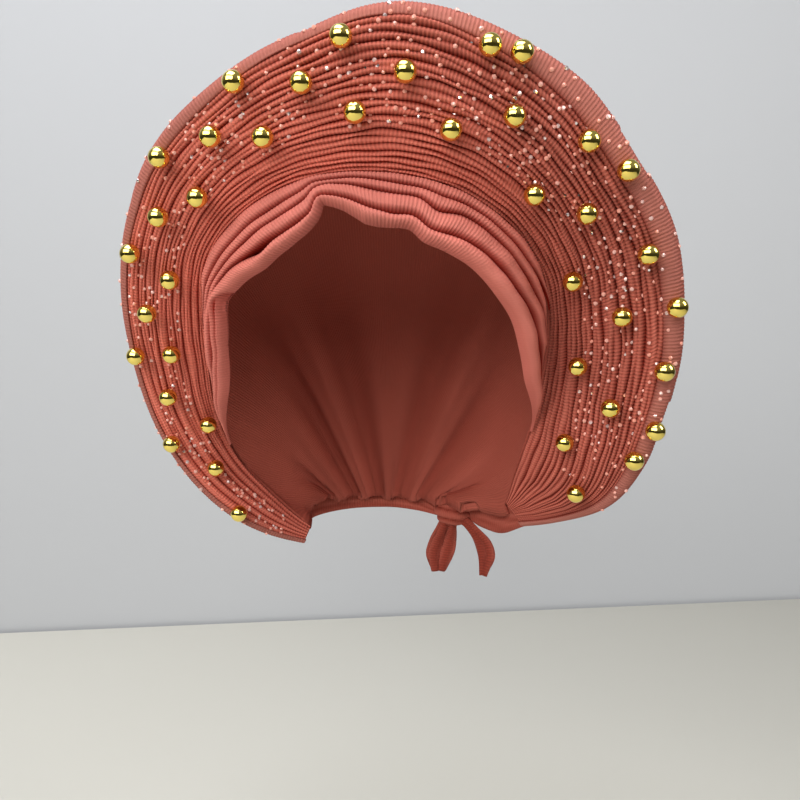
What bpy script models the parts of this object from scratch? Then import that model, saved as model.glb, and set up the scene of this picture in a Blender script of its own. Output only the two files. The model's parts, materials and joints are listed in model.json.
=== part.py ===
"""A gele: a head tie of ribbed coral cloth, pleated round the face like a halo and sewn with gold beads.

The wearer looks along -Y and +Z is up.  The origin is the point where the crown rests on the top of
the head.  The face opening is described as seen from in front: a turn is an angle about the face
centre, from 0 on the +X side through 90 at the top, a reach is the distance from that centre, and a
depth is a distance along Y, which grows towards the nape.  All sizes below are in millimetres.
"""

import math
from collections import namedtuple

import bmesh
import bpy
import numpy as np
from mathutils import Vector
from mathutils.bvhtree import BVHTree

MM = 0.001
PROBE = 0.02

FACE_CENTRE_Z = -95.0

# The head that the hollow is made for, as an ellipsoid whose top is the origin.
HEAD_CENTRE = np.array([0.0, 3.0, -82.0])
HEAD_HALF = np.array([76.0, 95.0, 82.0])
NECK_TAPER = 0.00075
HEAD_EASE = 1.0

CLOTH = 2.0
SEAM_GAP = 0.35
ROOT_GAP = 1.7

# How many cells the sheets of cloth have, around the face opening and across.
AROUND = 24
RIM_CELLS = 8
FOLD_CELLS = 4
CROWN_CELLS = 9

# The pleated brim, from the line where it leaves the brow folds, its root, out to its rim.
# band is the width of the smooth outermost turn of the cloth.
BrimSection = namedtuple("BrimSection", "turn rim_reach rim_depth root_reach root_depth band")
BRIM_SECTIONS = (
    BrimSection(-53, 141, 38, 125, 43, 4),
    BrimSection(-46, 145, 16, 113, 29, 4),
    BrimSection(-37, 148, -16, 103, 16, 5),
    BrimSection(-25, 146, -42, 96, 5, 6),
    BrimSection(-12, 145, -54, 92, -4, 7),
    BrimSection(4, 143.5, -66, 91, -17, 8),
    BrimSection(20, 144, -78, 91, -34, 10),
    BrimSection(35, 143, -90, 89, -52, 12),
    BrimSection(50, 144, -97, 86, -66, 12),
    BrimSection(66, 145, -101, 84, -75, 8),
    BrimSection(87, 148.5, -101, 83, -79, 5),
    BrimSection(104, 143, -97, 86, -77, 4),
    BrimSection(120, 142, -87, 91, -71, 5),
    BrimSection(136, 144, -71, 97, -59, 6),
    BrimSection(152, 145, -50, 102, -42, 6),
    BrimSection(168, 144, -26, 101, -22, 5),
    BrimSection(184, 144, 0, 102, -2, 5),
    BrimSection(200, 144, 15, 109, 18, 5),
    BrimSection(216, 142, 21, 116, 36, 5),
    BrimSection(232, 139, 28, 120, 47, 5),
    BrimSection(247, 137, 48, 127, 52, 4),
)
PLEATS = 21
PLEAT_GROWTH = 1.2
PLEAT_RELIEF = 1.7
RELIEF_PER_PITCH = 0.55
BRIM_BULGE = 0.09

# The smooth outermost turn rolls over the rim and ends as a hem behind the brim.
RIM_LIFT = 1.4
RIM_RETURN = 14.0
LEAST_RETURN = 0.8
RETURN_SHARE = 0.6
TIED_WIDTH = 15.0
HEM_RISE = 0.06
RIM_ROLL = 3.4
ROLL_SHARE = 0.18
ROLL_START = 0.2
ROLL_END = 0.7
RIM_CLOTH = 1.5
BAND_GAP = 0.7

# The folds over the forehead, between their lowest hem and the brim's root.
# groove_1 to groove_3 are the grooves between the folds, as shares of that way.
BrowSection = namedtuple("BrowSection", "turn hem_reach hem_depth groove_1 groove_2 groove_3")
BROW_SECTIONS = (
    BrowSection(-30, 93, -16, 0.90, 0.97, 0.99),
    BrowSection(-22, 86.5, -23, 0.70, 0.88, 0.95),
    BrowSection(-12, 78.5, -32, 0.58, 0.80, 0.91),
    BrowSection(0, 72, -43, 0.48, 0.76, 0.89),
    BrowSection(13, 67.5, -54, 0.42, 0.73, 0.87),
    BrowSection(25, 62.5, -65, 0.34, 0.66, 0.85),
    BrowSection(36, 59.5, -73, 0.33, 0.65, 0.84),
    BrowSection(47, 57, -80, 0.32, 0.66, 0.84),
    BrowSection(59, 54.5, -85, 0.28, 0.67, 0.85),
    BrowSection(69, 53.5, -88, 0.24, 0.57, 0.82),
    BrowSection(77, 56, -89, 0.29, 0.65, 0.84),
    BrowSection(87, 56, -90.5, 0.28, 0.65, 0.85),
    BrowSection(97, 58.5, -90, 0.34, 0.71, 0.89),
    BrowSection(104, 63, -88.5, 0.42, 0.75, 0.89),
    BrowSection(109, 68, -87, 0.42, 0.73, 0.86),
    BrowSection(112.5, 70.5, -86, 0.38, 0.66, 0.83),
    BrowSection(116, 67.5, -85, 0.26, 0.58, 0.78),
    BrowSection(121, 65, -83, 0.26, 0.55, 0.76),
    BrowSection(129, 64.5, -79, 0.28, 0.56, 0.75),
    BrowSection(138, 66.5, -74, 0.33, 0.58, 0.76),
    BrowSection(146, 69.5, -67, 0.40, 0.60, 0.77),
    BrowSection(154, 76.5, -59, 0.46, 0.62, 0.79),
    BrowSection(162, 82.5, -52, 0.50, 0.68, 0.83),
    BrowSection(174, 82.5, -42, 0.50, 0.74, 0.88),
    BrowSection(188, 85.5, -27, 0.50, 0.80, 0.92),
    BrowSection(200, 94, -14, 0.62, 0.88, 0.96),
    BrowSection(212, 104, 2, 0.80, 0.95, 0.98),
)
# Each fold runs between two turns of that table, and its crest stands so far over its grooves.
FoldRun = namedtuple("FoldRun", "left_turn right_turn crest")
FOLD_RUNS = (
    FoldRun(212, -30, 4.6),
    FoldRun(200, -12, 4.4),
    FoldRun(188, 0, 3.8),
    FoldRun(174, 13, 3.2),
)
FOLD_CLOTH = 1.1
CREST_SHARE = 0.55
FOLD_FULLNESS = 0.6

# The cap over the head, from close behind the brim's root to the gathered nape.
# Where the cap leaves the root high up, its lines are drawn over the head by OVER_WAY at the most.
CAP_BEHIND_ROOT = 2.1
OVER_WAY = (0.75, 0.6, 0.75)
OVER_FROM = -0.6
OVER_FULL = 0.9
NAPE_HALF_WIDTH = 50.0
NAPE_DEPTH = 92.0
NAPE_CURVE = 26.0
NAPE_Z = -197.0
# Shares of the way back: where the cap's sides meet the head, and where it starts to leave it again.
FULL_SIDES = 0.85
NAPE_START = 0.4
GATHERS = 6
GATHER_DEPTH = 2.4
GATHER_START = 0.35
GATHER_FULL = 0.85

# The straps behind the nape, their knot and the two loose ends.
STRAP_CLOTH = 1.6
StrapSection = namedtuple("StrapSection", "top_x top_depth top_z foot_x foot_depth foot_z")
LEFT_STRAP = (
    StrapSection(-51.8, 54, -211.5, -53, 53.2, -219.5),
    StrapSection(-56, 66, -203, -57, 66, -217),
    StrapSection(-50, 79, -196, -50, 79, -211),
    StrapSection(-28, 91.5, -193, -28, 91.5, -208),
    StrapSection(0, 97, -193, 0, 97, -208),
    StrapSection(20, 95.5, -197, 20, 95.5, -210),
    StrapSection(34, 89.5, -204, 34, 89.5, -212),
)
RIGHT_STRAP = (
    StrapSection(56.7, 79.2, -204, 56.7, 79.2, -212),
    StrapSection(62.5, 70, -201, 64, 70.5, -216),
    StrapSection(70.5, 57.5, -199.5, 75.5, 58, -216.5),
    StrapSection(77.8, 43.7, -197.2, 85.3, 39, -207.6),
)
KNOT_CENTRE = (45.0, 84.0, -208.0)
KNOT_HALF = (13.0, 8.5, 11.0)
TailSection = namedtuple("TailSection", "x depth z width turn")
SIDE_TAIL = (
    TailSection(53, 79, -219, 13, -30),
    TailSection(58, 76, -226, 19, -35),
    TailSection(61, 72, -236, 20, -38),
    TailSection(60, 70, -247, 9, -38),
)
BACK_TAIL = (
    TailSection(40, 86, -218.6, 14, 10),
    TailSection(38, 91, -229, 19, 8),
    TailSection(36, 92, -240, 20, 5),
    TailSection(35, 91, -252, 10, 2),
)

# The gold beads, charted by turn and pleat.  PLEATS is the band's inner edge and one more the rim line.
BEAD_DIAMETER = 10.0
BEAD_SIDES = 10
BEAD_GAP = 0.3
SEAT_STEPS = 12
BeadSpot = namedtuple("BeadSpot", "turn pleat")
BEAD_CHART = (
    BeadSpot(228, 21.5), BeadSpot(203.5, 20.5), BeadSpot(180.5, 20), BeadSpot(158, 20),
    BeadSpot(138, 21), BeadSpot(118, 20.5), BeadSpot(97, 19.5), BeadSpot(70.5, 21),
    BeadSpot(65, 21.5), BeadSpot(46, 21), BeadSpot(37, 21.5), BeadSpot(21, 21),
    BeadSpot(9, 22), BeadSpot(-3.5, 21.5), BeadSpot(-16, 22), BeadSpot(-23, 21.5),
    BeadSpot(214.5, 14.5), BeadSpot(191.5, 14.5), BeadSpot(170, 15.5), BeadSpot(148, 16),
    BeadSpot(127.5, 16.5), BeadSpot(106, 16), BeadSpot(85, 15), BeadSpot(61, 16),
    BeadSpot(35, 15.5), BeadSpot(9, 16.5), BeadSpot(-13.5, 16.5), BeadSpot(-35.5, 18),
    BeadSpot(202, 6), BeadSpot(180, 10.5), BeadSpot(160.5, 10), BeadSpot(139, 11),
    BeadSpot(118, 11.5), BeadSpot(96, 10.5), BeadSpot(73, 10), BeadSpot(47, 10),
    BeadSpot(21.5, 9), BeadSpot(-4, 10), BeadSpot(-26, 11.5),
)

SHEET_COLOURS = {
    "brow_cloth": (0.62, 0.21, 0.16),
    "pleat_cloth": (0.50, 0.12, 0.09),
    "cap_cloth": (0.52, 0.14, 0.10),
}
CLOTH_ROUGHNESS = 0.72
GOLD_COLOUR = (0.83, 0.60, 0.12)
GOLD_ROUGHNESS = 0.12


def smooth_curve(stations, values):
    """A smooth function through values at rising stations, straight on past its ends."""
    stations = np.array(stations, float)
    values = np.array(values, float)
    slopes = np.gradient(values, stations)

    def value(at):
        at = np.asarray(at, float)
        left = np.clip(np.searchsorted(stations, at) - 1, 0, len(stations) - 2)
        span = stations[left + 1] - stations[left]
        t = (at - stations[left]) / span
        rise = values[left + 1] - values[left]
        start = slopes[left] * span - rise
        end = rise - slopes[left + 1] * span
        return values[left] + t * rise + t * (1 - t) * ((1 - t) * start + t * end)

    return value


def column(rows, name):
    """One column of a table as a smooth function of turn."""
    return smooth_curve([row.turn for row in rows], [getattr(row, name) for row in rows])


def columns_along(rows, share):
    """Every column of a table, read at shares of the way from its first row to its last."""
    stations = np.linspace(0, 1, len(rows))
    return type(rows[0])(*(smooth_curve(stations, values)(share) for values in zip(*rows)))


RIM_REACH = column(BRIM_SECTIONS, "rim_reach")
RIM_DEPTH = column(BRIM_SECTIONS, "rim_depth")
ROOT_REACH = column(BRIM_SECTIONS, "root_reach")
ROOT_DEPTH = column(BRIM_SECTIONS, "root_depth")
BAND = column(BRIM_SECTIONS, "band")
HEM_REACH = column(BROW_SECTIONS, "hem_reach")
HEM_DEPTH = column(BROW_SECTIONS, "hem_depth")
GROOVES = tuple(column(BROW_SECTIONS, f"groove_{number}") for number in (1, 2, 3))


def place(turn, reach, depth):
    """Points of the face opening's frame as x, y, z."""
    angle = np.radians(turn)
    across = reach * np.cos(angle)
    return np.stack([across, depth + 0 * across, FACE_CENTRE_Z + reach * np.sin(angle)], axis=-1)


def smooth_step(share):
    share = np.clip(share, 0, 1)
    return share * share * (3 - 2 * share)


def section_way(turn, inner, outer):
    """The width of a section from its inner to its outer line, and the reach and depth of its way out."""
    reach_step = outer[0](turn) - inner[0](turn)
    depth_step = outer[1](turn) - inner[1](turn)
    width = np.hypot(reach_step, depth_step)
    return width, reach_step / width, depth_step / width


def lifted(base, turn, across, lift):
    """Points lift mm in front of a surface that base gives for a turn and a place across."""
    along_step = base(turn - PROBE, across) - base(turn + PROBE, across)
    across_step = base(turn, across + PROBE) - base(turn, across - PROBE)
    normal = np.cross(along_step, across_step)
    normal = normal / np.linalg.norm(normal, axis=-1, keepdims=True)
    return base(turn, across) + normal * np.asarray(lift)[..., None]


def brim_base(turn, outwards):
    """The brim's middle surface, outwards mm from its root."""
    width, way_reach, way_depth = section_way(turn, (ROOT_REACH, ROOT_DEPTH), (RIM_REACH, RIM_DEPTH))
    share = np.clip(outwards / width, 0, 1)
    bulge = BRIM_BULGE * width * 4 * share * (1 - share)
    reach = ROOT_REACH(turn) + outwards * way_reach + bulge * way_depth
    depth = ROOT_DEPTH(turn) + outwards * way_depth - bulge * way_reach
    return place(turn, reach, depth)


def brim_point(turn, outwards, lift):
    return lifted(brim_base, turn, outwards, lift)


def brim_width(turn):
    return section_way(turn, (ROOT_REACH, ROOT_DEPTH), (RIM_REACH, RIM_DEPTH))[0]


def pleat_out(turn, pleat):
    """How far out from the root the line pleat lies: whole numbers are grooves, halves are ridges."""
    pleated = brim_width(turn) - BAND(turn) - BAND_GAP
    return pleated * (pleat / PLEATS) ** PLEAT_GROWTH


def pleat_relief(turn, pleat):
    """How far a ridge stands over its grooves: less where the pleats are packed tight."""
    outer = pleat_out(turn, np.minimum(pleat + 0.5, PLEATS))
    pitch = outer - pleat_out(turn, np.maximum(pleat - 0.5, 0))
    return np.minimum(PLEAT_RELIEF, RELIEF_PER_PITCH * pitch)


def table_turn(rows, first, last, share):
    """Turns from first to last, as close together as the rows of the table are."""
    turns = np.array([row.turn for row in rows], float)
    numbers = np.arange(len(turns), dtype=float)
    ends = np.interp((first, last), turns, numbers)
    return np.interp(ends[0] + (ends[1] - ends[0]) * share, numbers, turns)


def pleated_surface(along, across):
    turn = table_turn(BRIM_SECTIONS, BRIM_SECTIONS[-1].turn, BRIM_SECTIONS[0].turn, along)
    pleat = across * PLEATS
    ridge = 1 - np.abs(2 * (pleat % 1) - 1)
    return brim_point(turn, pleat_out(turn, pleat), ridge * pleat_relief(turn, pleat))


def rim_profile(share, band, roll, behind):
    """The outermost turn in section, as (out past the rim line, lift): its band, roll and hem behind."""
    front = np.interp(share, (0, ROLL_START), (1, 0)) * (roll - band)
    angle = np.interp(share, (ROLL_START, ROLL_END), (0, math.pi))
    back = np.interp(share, (ROLL_END, 1), (0, 1)) * behind
    out = front + roll * np.sin(angle) - back - roll
    lift = RIM_LIFT - roll * (1 - np.cos(angle)) + HEM_RISE * back
    return out, lift


def rim_surface(along, across):
    turn = table_turn(BRIM_SECTIONS, BRIM_SECTIONS[-1].turn, BRIM_SECTIONS[0].turn, along)
    width = brim_width(turn)
    roll = np.minimum(RIM_ROLL, ROLL_SHARE * width)
    behind = np.clip(RETURN_SHARE * (width - TIED_WIDTH), LEAST_RETURN, RIM_RETURN)
    out, lift = rim_profile(across, BAND(turn), roll, behind)
    return brim_point(turn, width + out, lift)


def brow_width(turn):
    return section_way(turn, (HEM_REACH, HEM_DEPTH), (ROOT_REACH, ROOT_DEPTH))[0] - ROOT_GAP


def brow_base(turn, outwards):
    """The band under the brow folds, outwards mm from its hem."""
    _, way_reach, way_depth = section_way(turn, (HEM_REACH, HEM_DEPTH), (ROOT_REACH, ROOT_DEPTH))
    reach = HEM_REACH(turn) + outwards * way_reach
    return place(turn, reach, HEM_DEPTH(turn) + outwards * way_depth)


def fold_surface(number):
    run = FOLD_RUNS[number]

    def surface(along, across):
        turn = table_turn(BROW_SECTIONS, run.left_turn, run.right_turn, along)
        lower = GROOVES[number - 1](turn) if number else 0 * turn
        upper = GROOVES[number](turn) if number < len(GROOVES) else 0 * turn + 1
        foot = lower * brow_width(turn) + SEAM_GAP / 2
        top = upper * brow_width(turn) - SEAM_GAP / 2
        crest = np.minimum(run.crest, CREST_SHARE * (top - foot))
        arch = np.sin(math.pi * across) ** FOLD_FULLNESS
        return lifted(brow_base, turn, foot + (top - foot) * across, crest * arch)

    return surface


def head_radius(ways):
    """How far the head reaches from its centre: an ellipsoid above it, a taper to the neck below it."""
    level = np.hypot(ways[:, 0] / HEAD_HALF[0], ways[:, 1] / HEAD_HALF[1])
    above = np.hypot(level, np.maximum(ways[:, 2], 0) / HEAD_HALF[2])
    return 1 / (above + NECK_TAPER * np.minimum(ways[:, 2], 0) ** 2)


def ways_from_head(points):
    """How far points lie from the head's centre, and the unit ways to them."""
    offsets = points - HEAD_CENTRE
    far = np.linalg.norm(offsets, axis=-1)
    return far, offsets / far[:, None]


def crown_surface(along, across):
    """The cap: each line along runs from the brim's root over the head to the gathered nape."""
    turn = table_turn(BRIM_SECTIONS, BRIM_SECTIONS[-1].turn, BRIM_SECTIONS[0].turn, along)
    side = 2 * along - 1
    front = place(turn, ROOT_REACH(turn), ROOT_DEPTH(turn) + CAP_BEHIND_ROOT)
    nape_depth = NAPE_DEPTH - NAPE_CURVE * side**2
    nape = np.stack([NAPE_HALF_WIDTH * side, nape_depth, NAPE_Z + 0 * side], axis=-1)
    front_far, front_way = ways_from_head(front)
    nape_far, nape_way = ways_from_head(nape)
    over_share = smooth_step((np.sin(np.radians(turn)) - OVER_FROM) / (OVER_FULL - OVER_FROM))
    over = np.stack([OVER_WAY[0] * side, OVER_WAY[1] + 0 * side, OVER_WAY[2] + 0 * side], axis=-1)
    t = across[:, None]
    middle = (front_way + nape_way) / 2 + over_share[:, None] * over
    way = (1 - t) ** 2 * front_way + 2 * t * (1 - t) * middle + t**2 * nape_way
    way = way / np.linalg.norm(way, axis=-1, keepdims=True)
    ease = HEAD_EASE + CLOTH
    front_off = (front_far - head_radius(front_way) - ease) * (1 - smooth_step(across / FULL_SIDES))
    towards_nape = smooth_step((across - NAPE_START) / (1 - NAPE_START))
    nape_off = (nape_far - head_radius(nape_way) - ease) * towards_nape
    gathered = smooth_step((across - GATHER_START) / (GATHER_FULL - GATHER_START))
    gather = GATHER_DEPTH * np.cos(2 * math.pi * GATHERS * along) * gathered
    far = head_radius(way) + ease + front_off + nape_off + gather
    return HEAD_CENTRE + way * far[:, None]


def strap_surface(rows):
    """A strap between its top line and its foot line."""

    def surface(along, across):
        at = columns_along(rows, along)
        top = np.stack([at.top_x, at.top_depth, at.top_z], axis=-1)
        foot = np.stack([at.foot_x, at.foot_depth, at.foot_z], axis=-1)
        return top + (foot - top) * across[:, None]

    return surface


def tail_surface(rows):
    """A loose end, as wide at each row as its width and turned that far about Z."""

    def surface(along, across):
        at = columns_along(rows, across)
        angle = np.radians(at.turn)
        aside = at.width * (along - 0.5)
        return np.stack([at.x + aside * np.cos(angle), at.depth + aside * np.sin(angle), at.z], axis=-1)

    return surface


def named_material(name, colour, roughness, metallic):
    material = bpy.data.materials.new(name)
    material.use_nodes = True
    shader = material.node_tree.nodes["Principled BSDF"]
    shader.inputs["Base Color"].default_value = (*colour, 1)
    shader.inputs["Roughness"].default_value = roughness
    shader.inputs["Metallic"].default_value = metallic
    return material


def add_piece(name, mesh, material, collection):
    mesh.materials.append(material)
    piece = bpy.data.objects.new(name, mesh)
    collection.objects.link(piece)
    return piece


def cloth_sheet(name, cells, surface, thickness, material, collection):
    """A flat grid bent to a surface of two shares, then given its thickness behind that surface."""
    mesh = bpy.data.meshes.new(name)
    grid = bmesh.new()
    bmesh.ops.create_grid(grid, x_segments=cells[0], y_segments=cells[1], size=1)
    grid.to_mesh(mesh)
    grid.free()
    flat = np.empty(3 * len(mesh.vertices))
    mesh.vertices.foreach_get("co", flat)
    shares = flat.reshape(-1, 3)[:, :2] / 2 + 0.5
    bent = surface(shares[:, 0], shares[:, 1]) * MM
    mesh.vertices.foreach_set("co", bent.ravel())
    mesh.shade_smooth()
    piece = add_piece(name, mesh, material, collection)
    wall = piece.modifiers.new("thickness", "SOLIDIFY")
    wall.thickness = thickness * MM
    wall.offset = -1
    return piece


def knot(material, collection):
    """The tied knot as one soft lump."""
    mesh = bpy.data.meshes.new("nape_knot")
    lump = bmesh.new()
    bmesh.ops.create_uvsphere(lump, u_segments=12, v_segments=7, radius=MM)
    bmesh.ops.scale(lump, vec=KNOT_HALF, verts=lump.verts)
    lump.to_mesh(mesh)
    lump.free()
    mesh.shade_smooth()
    add_piece("nape_knot", mesh, material, collection).location = Vector(KNOT_CENTRE) * MM


def bead_seat(spot, cloths):
    """The centre of a bead whose skin clears the nearest cloth by the bead's gap, and its way out."""
    past_pleats = max(spot.pleat - PLEATS, 0)
    out = pleat_out(spot.turn, min(spot.pleat, PLEATS)) + past_pleats * (BAND(spot.turn) + BAND_GAP)
    foot = brim_point(spot.turn, out, 0)
    way = Vector(brim_point(spot.turn, out, 1) - foot)
    centre = (Vector(foot) + way * BEAD_DIAMETER) * MM
    for _ in range(SEAT_STEPS):
        clear = min(cloth.find_nearest(centre)[3] for cloth in cloths) - BEAD_GAP * MM
        centre -= way * (clear - BEAD_DIAMETER / 2 * MM)
    return centre, way


def gold_beads(carriers, material, collection):
    bpy.context.view_layer.update()
    graph = bpy.context.evaluated_depsgraph_get()
    cloths = [BVHTree.FromObject(carrier, graph) for carrier in carriers]
    for number, spot in enumerate(BEAD_CHART, start=1):
        name = f"gold_bead_{number:02d}"
        mesh = bpy.data.meshes.new(name)
        ball = bmesh.new()
        radius = BEAD_DIAMETER / 2 * MM
        bmesh.ops.create_uvsphere(ball, u_segments=BEAD_SIDES, v_segments=BEAD_SIDES // 2, radius=radius)
        ball.to_mesh(mesh)
        ball.free()
        mesh.shade_smooth()
        bead = add_piece(name, mesh, material, collection)
        bead.location, way = bead_seat(spot, cloths)
        bead.rotation_euler = way.to_track_quat("Z", "Y").to_euler()


def main():
    for thing in list(bpy.data.objects):
        bpy.data.objects.remove(thing)
    collection = bpy.data.collections.new("gele_head_tie")
    bpy.context.scene.collection.children.link(collection)
    brow = named_material("brow_cloth", SHEET_COLOURS["brow_cloth"], CLOTH_ROUGHNESS, 0)
    pleat = named_material("pleat_cloth", SHEET_COLOURS["pleat_cloth"], CLOTH_ROUGHNESS, 0)
    cap = named_material("cap_cloth", SHEET_COLOURS["cap_cloth"], CLOTH_ROUGHNESS, 0)
    gold = named_material("gold_plate", GOLD_COLOUR, GOLD_ROUGHNESS, 1)
    brim = cloth_sheet("pleated_brim", (AROUND, 2 * PLEATS), pleated_surface, CLOTH, pleat, collection)
    rim = cloth_sheet("rim_fold", (AROUND, RIM_CELLS), rim_surface, RIM_CLOTH, pleat, collection)
    for number, run in enumerate(FOLD_RUNS):
        around = sum(run.right_turn <= row.turn <= run.left_turn for row in BROW_SECTIONS) - 1
        name = f"brow_fold_{number + 1}"
        cloth_sheet(name, (around, FOLD_CELLS), fold_surface(number), FOLD_CLOTH, brow, collection)
    cloth_sheet("crown_cap", (AROUND, CROWN_CELLS), crown_surface, CLOTH, cap, collection)
    for name, rows in (("nape_strap_left", LEFT_STRAP), ("nape_strap_right", RIGHT_STRAP)):
        cells = (2 * len(rows), 1)
        cloth_sheet(name, cells, strap_surface(rows), STRAP_CLOTH, cap, collection)
    for name, rows in (("tie_tail_side", SIDE_TAIL), ("tie_tail_back", BACK_TAIL)):
        cells = (2, 2 * len(rows))
        cloth_sheet(name, cells, tail_surface(rows), STRAP_CLOTH, cap, collection)
    knot(cap, collection)
    gold_beads((brim, rim), gold, collection)


main()
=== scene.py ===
"""The looks of a gele: ribbed coral cloth in pleats and folds, gold beads and strings of small stones.

The front looks along -Y and +Z is up.  As in the solids, the face opening is described as seen from
in front: a turn is an angle about the face centre, from 0 on the +X side through 90 at the top, a reach
is the distance from that centre, and a depth is a distance along Y, which grows towards the nape.
Sizes are in millimetres until a mesh is made.
"""

import json
import math
from collections import namedtuple

import bpy
import numpy as np
from mathutils import Matrix, Vector
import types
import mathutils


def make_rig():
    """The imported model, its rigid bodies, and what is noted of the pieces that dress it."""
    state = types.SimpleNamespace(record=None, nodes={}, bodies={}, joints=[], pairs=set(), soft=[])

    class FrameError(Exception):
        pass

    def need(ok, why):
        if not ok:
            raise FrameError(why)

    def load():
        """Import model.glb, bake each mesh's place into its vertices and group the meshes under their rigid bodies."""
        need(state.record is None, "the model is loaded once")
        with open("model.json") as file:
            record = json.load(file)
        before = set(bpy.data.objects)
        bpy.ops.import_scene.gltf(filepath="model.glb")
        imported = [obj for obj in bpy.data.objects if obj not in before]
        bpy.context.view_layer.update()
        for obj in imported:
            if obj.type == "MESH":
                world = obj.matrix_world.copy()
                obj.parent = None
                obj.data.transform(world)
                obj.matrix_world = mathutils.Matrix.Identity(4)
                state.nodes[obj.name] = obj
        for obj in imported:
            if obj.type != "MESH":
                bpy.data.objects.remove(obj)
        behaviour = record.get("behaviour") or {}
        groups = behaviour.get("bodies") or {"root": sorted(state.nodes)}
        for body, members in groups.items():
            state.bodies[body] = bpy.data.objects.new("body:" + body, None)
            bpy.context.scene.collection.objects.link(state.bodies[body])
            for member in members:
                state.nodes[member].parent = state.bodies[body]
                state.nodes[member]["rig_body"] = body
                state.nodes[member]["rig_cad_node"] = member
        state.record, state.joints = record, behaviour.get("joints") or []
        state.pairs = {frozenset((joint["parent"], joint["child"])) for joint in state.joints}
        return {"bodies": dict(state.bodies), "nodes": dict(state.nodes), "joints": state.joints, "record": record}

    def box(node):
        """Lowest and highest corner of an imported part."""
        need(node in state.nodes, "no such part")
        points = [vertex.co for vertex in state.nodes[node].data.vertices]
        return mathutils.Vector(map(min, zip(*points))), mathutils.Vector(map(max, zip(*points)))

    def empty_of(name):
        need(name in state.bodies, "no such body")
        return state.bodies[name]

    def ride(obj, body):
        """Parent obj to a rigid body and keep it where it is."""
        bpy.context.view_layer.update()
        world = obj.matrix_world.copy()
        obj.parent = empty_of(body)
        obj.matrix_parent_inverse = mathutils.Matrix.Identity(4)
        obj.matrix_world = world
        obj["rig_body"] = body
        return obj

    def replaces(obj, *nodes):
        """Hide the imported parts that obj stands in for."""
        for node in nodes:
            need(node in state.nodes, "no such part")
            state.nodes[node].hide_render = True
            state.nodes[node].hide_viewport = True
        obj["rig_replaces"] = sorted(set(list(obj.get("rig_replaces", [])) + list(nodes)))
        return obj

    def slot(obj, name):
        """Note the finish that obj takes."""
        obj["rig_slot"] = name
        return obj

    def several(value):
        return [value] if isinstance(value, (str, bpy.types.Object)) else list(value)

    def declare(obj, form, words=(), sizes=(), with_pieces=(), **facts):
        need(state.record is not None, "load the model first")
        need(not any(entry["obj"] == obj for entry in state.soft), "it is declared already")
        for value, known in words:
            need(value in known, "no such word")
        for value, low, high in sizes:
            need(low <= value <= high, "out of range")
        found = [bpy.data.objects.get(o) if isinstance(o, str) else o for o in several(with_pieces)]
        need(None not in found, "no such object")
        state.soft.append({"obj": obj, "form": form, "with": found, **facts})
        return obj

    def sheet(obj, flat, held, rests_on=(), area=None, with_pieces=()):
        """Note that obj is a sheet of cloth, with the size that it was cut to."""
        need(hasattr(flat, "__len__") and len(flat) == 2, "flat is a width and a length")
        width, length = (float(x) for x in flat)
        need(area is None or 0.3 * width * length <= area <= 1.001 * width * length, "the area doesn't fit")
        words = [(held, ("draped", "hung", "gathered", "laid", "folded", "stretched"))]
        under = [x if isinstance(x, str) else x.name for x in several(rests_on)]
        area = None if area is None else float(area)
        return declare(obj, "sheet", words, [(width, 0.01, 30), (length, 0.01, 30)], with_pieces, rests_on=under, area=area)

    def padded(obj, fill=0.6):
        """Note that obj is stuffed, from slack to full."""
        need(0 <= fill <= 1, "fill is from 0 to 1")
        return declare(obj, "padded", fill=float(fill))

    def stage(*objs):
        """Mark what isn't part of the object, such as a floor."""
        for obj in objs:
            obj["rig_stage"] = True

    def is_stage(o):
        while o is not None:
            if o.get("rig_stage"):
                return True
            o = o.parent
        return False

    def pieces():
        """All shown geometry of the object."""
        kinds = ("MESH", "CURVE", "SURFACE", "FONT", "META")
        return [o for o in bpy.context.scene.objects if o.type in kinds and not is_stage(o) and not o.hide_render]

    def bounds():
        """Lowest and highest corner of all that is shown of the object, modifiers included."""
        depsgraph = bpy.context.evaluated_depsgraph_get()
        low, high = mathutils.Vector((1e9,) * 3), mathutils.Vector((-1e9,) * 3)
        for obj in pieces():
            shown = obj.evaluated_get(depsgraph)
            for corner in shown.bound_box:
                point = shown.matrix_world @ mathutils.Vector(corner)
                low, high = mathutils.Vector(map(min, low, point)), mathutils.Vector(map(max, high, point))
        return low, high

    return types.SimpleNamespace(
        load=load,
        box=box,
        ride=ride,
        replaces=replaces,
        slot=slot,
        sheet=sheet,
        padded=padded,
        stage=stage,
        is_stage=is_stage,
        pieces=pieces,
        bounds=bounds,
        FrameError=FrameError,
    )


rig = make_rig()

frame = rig.load()
cad_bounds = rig.bounds()

MM = 0.001
PROBE = 0.02
FACE_CENTRE_Z = -95.0

# The camera, in metres: it stands in front of the face opening and looks slightly down.
CAMERA_PLACE = (0.008, -0.455, -0.085)
CAMERA_PITCH = 5.0
CAMERA_LENS = 36.09

# The hollow under the cap: an ellipsoid whose top is the origin, and a taper towards the nape.
HOLLOW_CENTRE = np.array([0.0, 3.0, -82.0])
HOLLOW_HALF = np.array([76.0, 95.0, 82.0])
NAPE_TAPER = 0.00075
HOLLOW_EASE = 1.0

CLOTH = 2.0
SEAM_GAP = 0.35
ROOT_GAP = 1.7

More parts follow.
